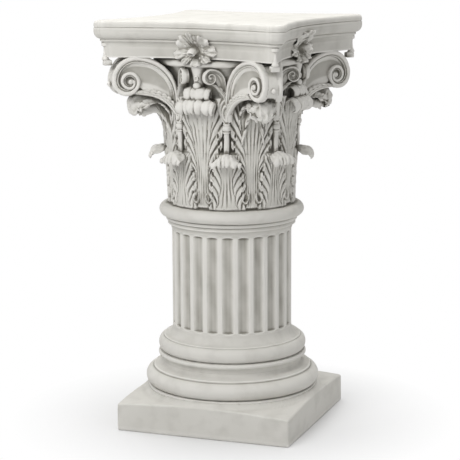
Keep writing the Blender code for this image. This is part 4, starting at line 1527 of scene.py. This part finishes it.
@dataclass
class Flowers:
    """A ruffled flower with a bent tube in its middle on each side of the slab."""

    out: float = 0.1100
    height: float = 0.5665
    side: float = 0.0350
    up: float = 0.0270
    down: float = 0.0215
    thick: float = 0.0013
    over_lip: float = 0.0170
    ripple: float = 0.0024
    crease: float = 0.0035
    tube_radius: float = 0.0056
    tube_runs: tuple = ((0.0110, 0.0), bend(0.0080, 62))

    def corolla(self, size: float, petals: int, start: float, columns: int) -> Surface:
        """A ring of petals grown together: an oval, ruffled dish that leans out over the slab's lip.

        At share v out and angle a, the radius is that of an oval, less 1 - |sin(petals a / 2)|^0.45
        as a notch between the petals. The dish stands out as v^1.3, most where it points up. It is
        furrowed between the petals and along them, and its edge ripples as the sine of several a.

        Args:
            size: Share of the full oval.
            petals: Number of petals.
            start: Angle at which the first notch lies.
            columns: Points round the dish.

        Returns:
            The dish as one closed surface facing +X.
        """
        v = np.concatenate([np.linspace(0.06, 1.0, 18), np.linspace(1.0, 0.06, 10)])[:, None]
        behind = np.repeat([0.0, 1.0], [18, 10])[:, None]
        angle = np.linspace(0.0, math.tau, columns, endpoint=False)[None, :]
        warped = angle + 0.16 * np.sin(3.0 * angle + start)
        lobe = np.abs(np.sin(0.5 * petals * (warped - start))) ** 0.45
        upward, sideways = np.cos(angle), np.sin(angle)
        tall = np.where(upward > 0.0, self.up, self.down)
        oval = size / np.hypot(upward / tall, sideways / self.side)
        radial = oval * v * (1.0 - 0.30 * (1.0 - lobe) * v ** 2)
        over, under = np.clip(upward, 0.0, 1.0), np.clip(-upward, 0.0, 1.0)
        reach = (0.0060 + self.over_lip * over ** 1.5 + 0.0050 * under) * size
        ripple = self.ripple * np.sin(2.5 * petals * warped + start) * ease(v, 0.45, 1.0)
        crease = self.crease * (lobe - 0.75) * ease(v, 0.10, 0.60)
        lift = 0.0020 + reach * v ** 1.3 + ripple + crease - 0.0030 * ease(v, 0.85, 1.0) * size
        lift = lift - behind * (self.thick * (1.0 - v ** 8) ** 0.5 * 2.0 + 0.0006)
        points = [self.out + lift, radial * sideways, self.height + 0.0012 + radial * upward]
        return Surface(np.stack(points, axis=-1), pale=RUBBED / 2)

    def tube(self) -> Surface:
        """The tube: rings along a line that leaves the flower and bends down, with a hole in its end."""
        share = np.linspace(0.0, 1.0, 20)
        line, heading = path_line((0.0, 0.0), self.tube_runs, share)
        radii = np.concatenate([self.tube_radius * between(share, (0, 0.5, 1), (1.25, 1.0, 1.05)),
                                self.tube_radius * np.array([0.97, 0.72, 0.58, 0.52])])
        deep = np.array([0.0005, 0.0005, -0.0010, -0.0055])
        tip, aim = line[-1], heading[-1]
        line = np.concatenate([line, tip + deep[:, None] * np.array([math.sin(aim), math.cos(aim)])])
        heading = np.concatenate([heading, np.full(len(deep), aim)])
        angle = np.linspace(0.0, math.tau, 28, endpoint=False)[None, :]
        across = radii[:, None] * np.cos(angle)
        lift = radii[:, None] * np.sin(angle)
        x = self.out + line[:, 1:] + lift * np.sin(heading)[:, None]
        z = self.height + 0.0020 - line[:, :1] + lift * np.cos(heading)[:, None]
        return Surface(np.stack([x, across, z], axis=-1))

    def build(self) -> Carving:
        """Set a flower on each side."""
        piece = Carving("flowers", 0.0005)
        for surface in (self.corolla(1.0, 8, 0.30, 144), self.corolla(0.60, 6, 0.80, 96), self.tube()):
            piece.add(surface, QUARTERS)
        return piece


@dataclass
class CornerOrnaments:
    """Under each corner of the slab: a post with a cap, its block, a ball and a boss below them."""

    out: float = 0.1925
    low: float = 0.5420
    high: float = 0.5780
    block_back: float = 0.0030
    ball: tuple = (0.5495, 0.0050, 0.1890)
    boss: tuple = (0.5175, 0.0036, 0.1870)

    def post(self) -> Surface:
        """A slim stepped post from the scrolls up to a cap under the slab's edge."""
        low, high = self.low, self.high
        return upright_turned(fine([np.array([
            (0.0030, low + 0.0100), (0.0050, low + 0.0110), (0.0054, low + 0.0125), (0.0040, low + 0.0150),
            (0.0028, low + 0.0180), (0.0023, low + 0.0240), (0.0022, high - 0.0070), (0.0030, high - 0.0055),
            (0.0052, high - 0.0048), (0.0056, high - 0.0010), (0.0052, high)])], 0.0010), self.out, 18)

    def block(self) -> Surface:
        """The square block that the post stands on."""
        return upright_turned(np.array([(0.0070, self.low + 0.0028), (0.0080, self.low + 0.0036),
                                        (0.0080, self.low + 0.0094), (0.0070, self.low + 0.0105)]),
                              self.out - self.block_back, 4)

    def build(self) -> Carving:
        """Set the ornaments at the corners."""
        piece = Carving("corner_ornaments")
        for surface in (self.post(), self.block(), knob(*self.ball, 14), knob(*self.boss, 12)):
            piece.add(surface, CORNERS)
        return piece


@dataclass
class OcclusionShade:
    """Painted shade: how closed in each point of the pedestal is, from blurred counts of points in a block of
    cells; the material darkens closed-in points as shade.

    Attributes:
        cell: Edge of a cell.
        margin: Empty space kept round the pedestal.
        reaches: Distances along the normal at which the blurred counts are read.
    """

    cell: float = 0.0025
    margin: float = 0.0300
    reaches: tuple = (0.0050, 0.0100, 0.0200)

    def blurred(self, block: Array, reach: int) -> Array:
        """Mean over a cube of cells, one axis after the other, from running sums.

        Args:
            block: Counts in cells.
            reach: Cells on each side of the middle one.

        Returns:
            The blurred block.
        """
        for axis in range(3):
            start = np.zeros_like(np.take(block, [0], axis))
            total = np.cumsum(np.concatenate([start, block], axis), axis=axis)
            size = block.shape[axis]
            high = np.clip(np.arange(size) + reach + 1, 0, size)
            low = np.clip(np.arange(size) - reach, 0, size)
            block = (np.take(total, high, axis) - np.take(total, low, axis)) / (2 * reach + 1)
        return block

    def lay(self, pieces: Sequence[bpy.types.Object]) -> None:
        """Write how closed in every point of every piece is as an attribute, which the material paints as
        shade.

        Args:
            pieces: Finished pieces, at the origin.
        """
        points, normals = [], []
        for piece in pieces:
            count = len(piece.data.vertices)
            place, normal = np.empty(count * 3, np.float32), np.empty(count * 3, np.float32)
            piece.data.vertices.foreach_get("co", place)
            piece.data.vertex_normals.foreach_get("vector", normal)
            points.append(place.reshape(-1, 3))
            normals.append(normal.reshape(-1, 3))
        spot, aim = np.concatenate(points), np.concatenate(normals)
        low = spot.min(axis=0) - self.margin
        shape = np.ceil((spot.max(axis=0) + self.margin - low) / self.cell).astype(int) + 1
        filled = np.zeros(shape, dtype=np.float32)
        filled[tuple(((spot - low) / self.cell).astype(int).T)] = 1.0
        # Closed-in amount for each point, which the material paints as shade.
        occlusion_shade = np.zeros(len(spot))
        for reach in self.reaches:
            block = self.blurred(filled, max(1, int(round(0.5 * reach / self.cell))))
            where = np.clip((spot + aim * reach - low) / self.cell, 0, shape - 1).astype(int)
            occlusion_shade += block[tuple(where.T)] / len(self.reaches)
        start = 0
        for piece in pieces:
            count = len(piece.data.vertices)
            layer = piece.data.attributes.new("occlusion_shade", "FLOAT", "POINT")
            layer.data.foreach_set("value", occlusion_shade[start:start + count].astype(np.float32))
            start += count
        LOG.info("shelter: mean %.3f, most %.3f", occlusion_shade.mean(), occlusion_shade.max())


@dataclass(frozen=True)
class AgedStoneWithShade:
    """Cast stone with a dark coat in its hollows and pale rubbed ridges, plus painted shade in the same dark
    colour where other parts close a point in.

    Attributes:
        stone: Colour of the plain surface.
        wash_and_shade: Colour of the dark coat in the hollows, also used as painted shade on closed-in
            points.
        worn: Colour of rubbed ridges.
        roughness: Roughness of the plain surface.
        grooves: Metres of hollowness over which the wash sets in.
        ridges: Metres over which the rubbing sets in.
        shade_range: Closed-in amounts over which the painted shade sets in.
    """

    stone: tuple = (0.585, 0.572, 0.532)
    wash_and_shade: tuple = (0.190, 0.178, 0.146)
    worn: tuple = (0.720, 0.705, 0.670)
    roughness: float = 0.72
    grooves: tuple = (0.00004, 0.00042)
    ridges: tuple = (-0.00005, -0.00045)
    shade_range: tuple = (0.070, 0.340)

    def group(self) -> bpy.types.NodeTree:
        """The shader node group: the dark coat in the hollows, rubbed ridges and painted shade on closed-in
        points mix the colours, and noise breaks them up.

        Returns:
            A group that puts out the colour, the roughness and a height for bumps.
        """
        tree = bpy.data.node_groups.new("aged_stone_with_painted_shade", "ShaderNodeTree")
        sockets = tree.interface
        colour, number = "NodeSocketColor", "NodeSocketFloat"
        for name, kind in (("Stone", colour), ("Wash and shade", colour), ("Worn", colour), ("Roughness", number)):
            sockets.new_socket(name=name, in_out="INPUT", socket_type=kind)
        for name, kind in (("Color", colour), ("Roughness", number), ("Height", number)):
            sockets.new_socket(name=name, in_out="OUTPUT", socket_type=kind)
        nodes = Nodes(tree)
        given, result = nodes.new("NodeGroupInput"), nodes.new("NodeGroupOutput")
        place = nodes.new("ShaderNodeTexCoord").outputs["Object"]
        hollow = nodes.attribute("hollow")
        occlusion_shade = nodes.attribute("occlusion_shade")
        mottle = nodes.noise(place, 38.0, 4.0)
        grain = nodes.noise(place, 420.0, 3.0)
        stain = nodes.noise(place, 11.0, 3.0)
        deep = nodes.maths("MULTIPLY", nodes.ramp(hollow, *self.grooves), 0.85)
        # Painted shade: points closed in by other parts are darkened toward the dark hollow colour.
        shut = nodes.maths("MULTIPLY", nodes.ramp(occlusion_shade, *self.shade_range), 0.90)
        # Share of the dark colour: the larger of the real coat in the hollows and the painted shade.
        coat_and_shade = nodes.maths("MAXIMUM", deep, shut)
        mottled_coat_and_shade = nodes.maths("MULTIPLY", coat_and_shade, nodes.ramp(mottle, 0.10, 0.55, 0.72, 1.0))
        ridge = nodes.maths("MULTIPLY", nodes.ramp(hollow, *self.ridges), 0.75)
        stone, wash_and_shade, worn = (given.outputs[name] for name in ("Stone", "Wash and shade", "Worn"))
        plain = nodes.mix(stone, worn, nodes.ramp(stain, 0.35, 0.75, 0.0, 0.22))
        plain = nodes.mix(plain, wash_and_shade, nodes.ramp(mottle, 0.48, 0.80, 0.0, 0.22))
        # Rubbed ridges first, then the dark coat and the painted shade over them.
        coated_and_shaded = nodes.mix(nodes.mix(plain, worn, ridge), wash_and_shade, mottled_coat_and_shade)
        tree.links.new(coated_and_shaded, result.inputs["Color"])
        rough = nodes.maths("ADD", given.outputs["Roughness"], nodes.ramp(grain, 0.3, 0.7, -0.05, 0.08))
        tree.links.new(rough, result.inputs["Roughness"])
        height = nodes.maths("ADD", nodes.maths("MULTIPLY", grain, 0.5), mottle)
        tree.links.new(height, result.inputs["Height"])
        return tree

    def material(self) -> bpy.types.Material:
        """The finished material, with the group feeding a Principled shader and a bump."""
        material = bpy.data.materials.new("antique_stone_with_painted_shade")
        material.use_nodes = True
        tree = material.node_tree
        shader = tree.nodes["Principled BSDF"]
        shader.inputs["Metallic"].default_value = 0.0
        shader.inputs["Specular IOR Level"].default_value = 0.35
        aged = tree.nodes.new("ShaderNodeGroup")
        aged.node_tree = self.group()
        for name, colour in (("Stone", self.stone), ("Wash and shade", self.wash_and_shade), ("Worn", self.worn)):
            aged.inputs[name].default_value = (*colour, 1.0)
        aged.inputs["Roughness"].default_value = self.roughness
        bump = tree.nodes.new("ShaderNodeBump")
        bump.inputs["Strength"].default_value = 0.25
        bump.inputs["Distance"].default_value = 0.0006
        tree.links.new(aged.outputs["Height"], bump.inputs["Height"])
        tree.links.new(aged.outputs["Color"], shader.inputs["Base Color"])
        tree.links.new(aged.outputs["Roughness"], shader.inputs["Roughness"])
        tree.links.new(bump.outputs["Normal"], shader.inputs["Normal"])
        return material


class Nodes:
    """Short ways to add the few kinds of shader nodes that the finish uses."""

    def __init__(self, tree: bpy.types.NodeTree) -> None:
        """Work in the given tree."""
        self.tree = tree

    def new(self, kind: str) -> bpy.types.Node:
        """Add a node."""
        return self.tree.nodes.new(kind)

    def attribute(self, name: str) -> bpy.types.NodeSocket:
        """Read a point attribute as a number."""
        node = self.new("ShaderNodeAttribute")
        node.attribute_name = name
        return node.outputs["Fac"]

    def noise(self, place: bpy.types.NodeSocket, scale: float, detail: float) -> bpy.types.NodeSocket:
        """Noise over object coordinates.

        Args:
            place: The coordinates.
            scale: Waves to a metre, roughly.
            detail: How much finer noise is added.

        Returns:
            A number about 0.5.
        """
        node = self.new("ShaderNodeTexNoise")
        node.inputs["Scale"].default_value = scale
        node.inputs["Detail"].default_value = detail
        self.tree.links.new(place, node.inputs["Vector"])
        return node.outputs["Fac"]

    def ramp(self, value: bpy.types.NodeSocket, low: float, high: float, start: float = 0.0,
             end: float = 1.0) -> bpy.types.NodeSocket:
        """Carry low to high over to start to end, held at both ends.

        Args:
            value: The number to carry over.
            low: Number that gives start.
            high: Number that gives end.
            start: First result.
            end: Last result.

        Returns:
            The result.
        """
        node = self.new("ShaderNodeMapRange")
        for name, number in (("From Min", low), ("From Max", high), ("To Min", start), ("To Max", end)):
            node.inputs[name].default_value = number
        self.tree.links.new(value, node.inputs["Value"])
        return node.outputs["Result"]

    def maths(self, how: str, first: bpy.types.NodeSocket, second: object) -> bpy.types.NodeSocket:
        """Join two numbers by a Math node.

        Args:
            how: Name of the operation.
            first: First number.
            second: Second number, a socket or a plain number.

        Returns:
            The result.
        """
        node = self.new("ShaderNodeMath")
        node.operation = how
        self.tree.links.new(first, node.inputs[0])
        if isinstance(second, float):
            node.inputs[1].default_value = second
        else:
            self.tree.links.new(second, node.inputs[1])
        return node.outputs[0]

    def mix(self, first: bpy.types.NodeSocket, second: bpy.types.NodeSocket,
            share: bpy.types.NodeSocket) -> bpy.types.NodeSocket:
        """Mix two colours.

        Args:
            first: Colour at share 0.
            second: Colour at share 1.
            share: The share.

        Returns:
            The mixed colour.
        """
        node = self.new("ShaderNodeMix")
        node.data_type = "RGBA"
        self.tree.links.new(share, node.inputs[0])
        self.tree.links.new(first, node.inputs[6])
        self.tree.links.new(second, node.inputs[7])
        return node.outputs[2]


@dataclass
class Studio:
    """Pale floor, soft light and a camera where the photograph was taken from.

    Attributes:
        azimuth: Degrees round from the slab's front side, towards +X.
        distance: Level distance from the axis.
        height: Height of the camera.
        pitch: Degrees that it looks down.
        yaw: Degrees that it looks past the axis.
        roll: Degrees that it is tipped.
        lens: Focal length for a 36 mm square frame.
        sky: Strength of the light from all round.
        key: Place seen from the camera's side, width and watts of the main lamp.
        fill: The same for the lamp on the right.
        top: The same for the lamp above.
        floor_half: Half the width of the floor.
        fade: Distances from the axis between which the floor turns white.
    """

    azimuth: float = 26.51
    distance: float = 2.574
    height: float = 0.765
    pitch: float = 10.47
    yaw: float = 0.06
    roll: float = -0.26
    lens: float = 135.27
    sky: float = 0.47
    key: tuple = ((-0.75, -1.05, 1.3), 0.9, 13.0)
    fill: tuple = ((2.4, -1.6, 1.2), 2.0, 7.5)
    top: tuple = ((0.0, 0.4, 2.6), 2.0, 46.0)
    floor_half: float = 6.0
    fade: tuple = (0.14, 0.34)

    def camera(self) -> None:
        """Make the camera and hand it to the scene."""
        data = bpy.data.cameras.new("camera")
        data.lens = self.lens
        data.sensor_width = 36.0
        item = bpy.data.objects.new("camera", data)
        turn = math.radians(self.azimuth)
        item.location = (math.sin(turn) * self.distance, -math.cos(turn) * self.distance, self.height)
        aim = Euler((math.radians(90.0 - self.pitch), 0.0, turn + math.radians(self.yaw)), "XYZ")
        tip = Euler((0.0, 0.0, math.radians(self.roll)))
        item.rotation_euler = (aim.to_matrix() @ tip.to_matrix()).to_euler()
        bpy.context.scene.collection.objects.link(item)
        bpy.context.scene.camera = item

    def floor(self) -> None:
        """A broad pale floor."""
        mesh = bpy.data.meshes.new("floor")
        half = self.floor_half
        square = [(-half, -half, 0), (half, -half, 0), (half, half, 0), (-half, half, 0)]
        mesh.from_pydata(square, [], [(0, 1, 2, 3)])
        item = bpy.data.objects.new("floor", mesh)
        mesh.materials.append(self.pale_floor())
        bpy.context.scene.collection.objects.link(item)

    def pale_floor(self) -> bpy.types.Material:
        """A pale matt floor that the camera sees fade into the white backdrop away from the column."""
        material = bpy.data.materials.new("pale_floor")
        material.use_nodes = True
        tree = material.node_tree
        nodes = Nodes(tree)
        shader = tree.nodes["Principled BSDF"]
        shader.inputs["Base Color"].default_value = (0.70, 0.70, 0.70, 1.0)
        shader.inputs["Roughness"].default_value = 0.9
        shader.inputs["Specular IOR Level"].default_value = 0.1
        glow, blend = nodes.new("ShaderNodeEmission"), nodes.new("ShaderNodeMixShader")
        away = nodes.new("ShaderNodeVectorMath")
        away.operation = "LENGTH"
        tree.links.new(nodes.new("ShaderNodeTexCoord").outputs["Object"], away.inputs[0])
        seen = nodes.new("ShaderNodeLightPath").outputs["Is Camera Ray"]
        far = nodes.ramp(away.outputs["Value"], *self.fade)
        tree.links.new(nodes.maths("MULTIPLY", seen, far), blend.inputs[0])
        tree.links.new(shader.outputs["BSDF"], blend.inputs[1])
        tree.links.new(glow.outputs["Emission"], blend.inputs[2])
        tree.links.new(blend.outputs["Shader"], tree.nodes["Material Output"].inputs["Surface"])
        return material

    def lamp(self, name: str, place: tuple, size: float, power: float) -> None:
        """A round area light that looks at the column's middle.

        Args:
            name: Its name.
            place: Place, with the camera on the side that -Y is on.
            size: Width.
            power: Watts.
        """
        data = bpy.data.lights.new(name, "AREA")
        data.shape = "DISK"
        data.size = size
        data.energy = power
        item = bpy.data.objects.new(name, data)
        turn = math.radians(self.azimuth)
        x, y, z = place
        item.location = (x * math.cos(turn) - y * math.sin(turn), x * math.sin(turn) + y * math.cos(turn), z)
        away = item.location - type(item.location)((0.0, 0.0, 0.35))
        item.rotation_euler = away.to_track_quat("Z", "Y").to_euler()
        bpy.context.scene.collection.objects.link(item)

    def world(self) -> bpy.types.World:
        """Even light from all round, behind which the backdrop itself is white."""
        world = bpy.data.worlds.new("studio")
        world.use_nodes = True
        nodes = Nodes(world.node_tree)
        sky = world.node_tree.nodes["Background"]
        sky.inputs["Color"].default_value = (1.0, 1.0, 1.0, 1.0)
        seen = nodes.new("ShaderNodeLightPath").outputs["Is Camera Ray"]
        world.node_tree.links.new(nodes.ramp(seen, 0.0, 1.0, self.sky, 1.0), sky.inputs["Strength"])
        return world

    def build(self) -> None:
        """Set up floor, light and camera."""
        self.floor()
        self.camera()
        self.lamp("key", *self.key)
        self.lamp("fill", *self.fill)
        self.lamp("top", *self.top)
        bpy.context.scene.world = self.world()
        bpy.context.scene.view_settings.view_transform = "Standard"


def main() -> None:
    """Carve every piece, dress it in aged stone with painted shade in closed-in places and set up the studio.
    """
    logging.basicConfig(level=logging.INFO, format="%(name)s: %(message)s", stream=sys.stdout)
    carvings = [Plinth().build(), Base().build(), Shaft().build(), Necking().build()]
    carvings += LeafWall().build() + LeafHeads().build()
    carvings += [Stems().build(), CornerScrolls().build(), SideScrolls().build(), BellLip().build()]
    carvings += [Slab().build(), Flowers().build(), CornerOrnaments().build()]
    pieces = [carving.build() for carving in carvings]
    # Painted shade: how closed in each point is, for the material to darken.
    OcclusionShade().lay(pieces)
    # The stone's colours, with painted shade on closed-in points.
    finish = AgedStoneWithShade().material()
    for piece in pieces:
        piece.data.materials.append(finish)
    Studio().build()


if __name__ == "__main__":
    main()
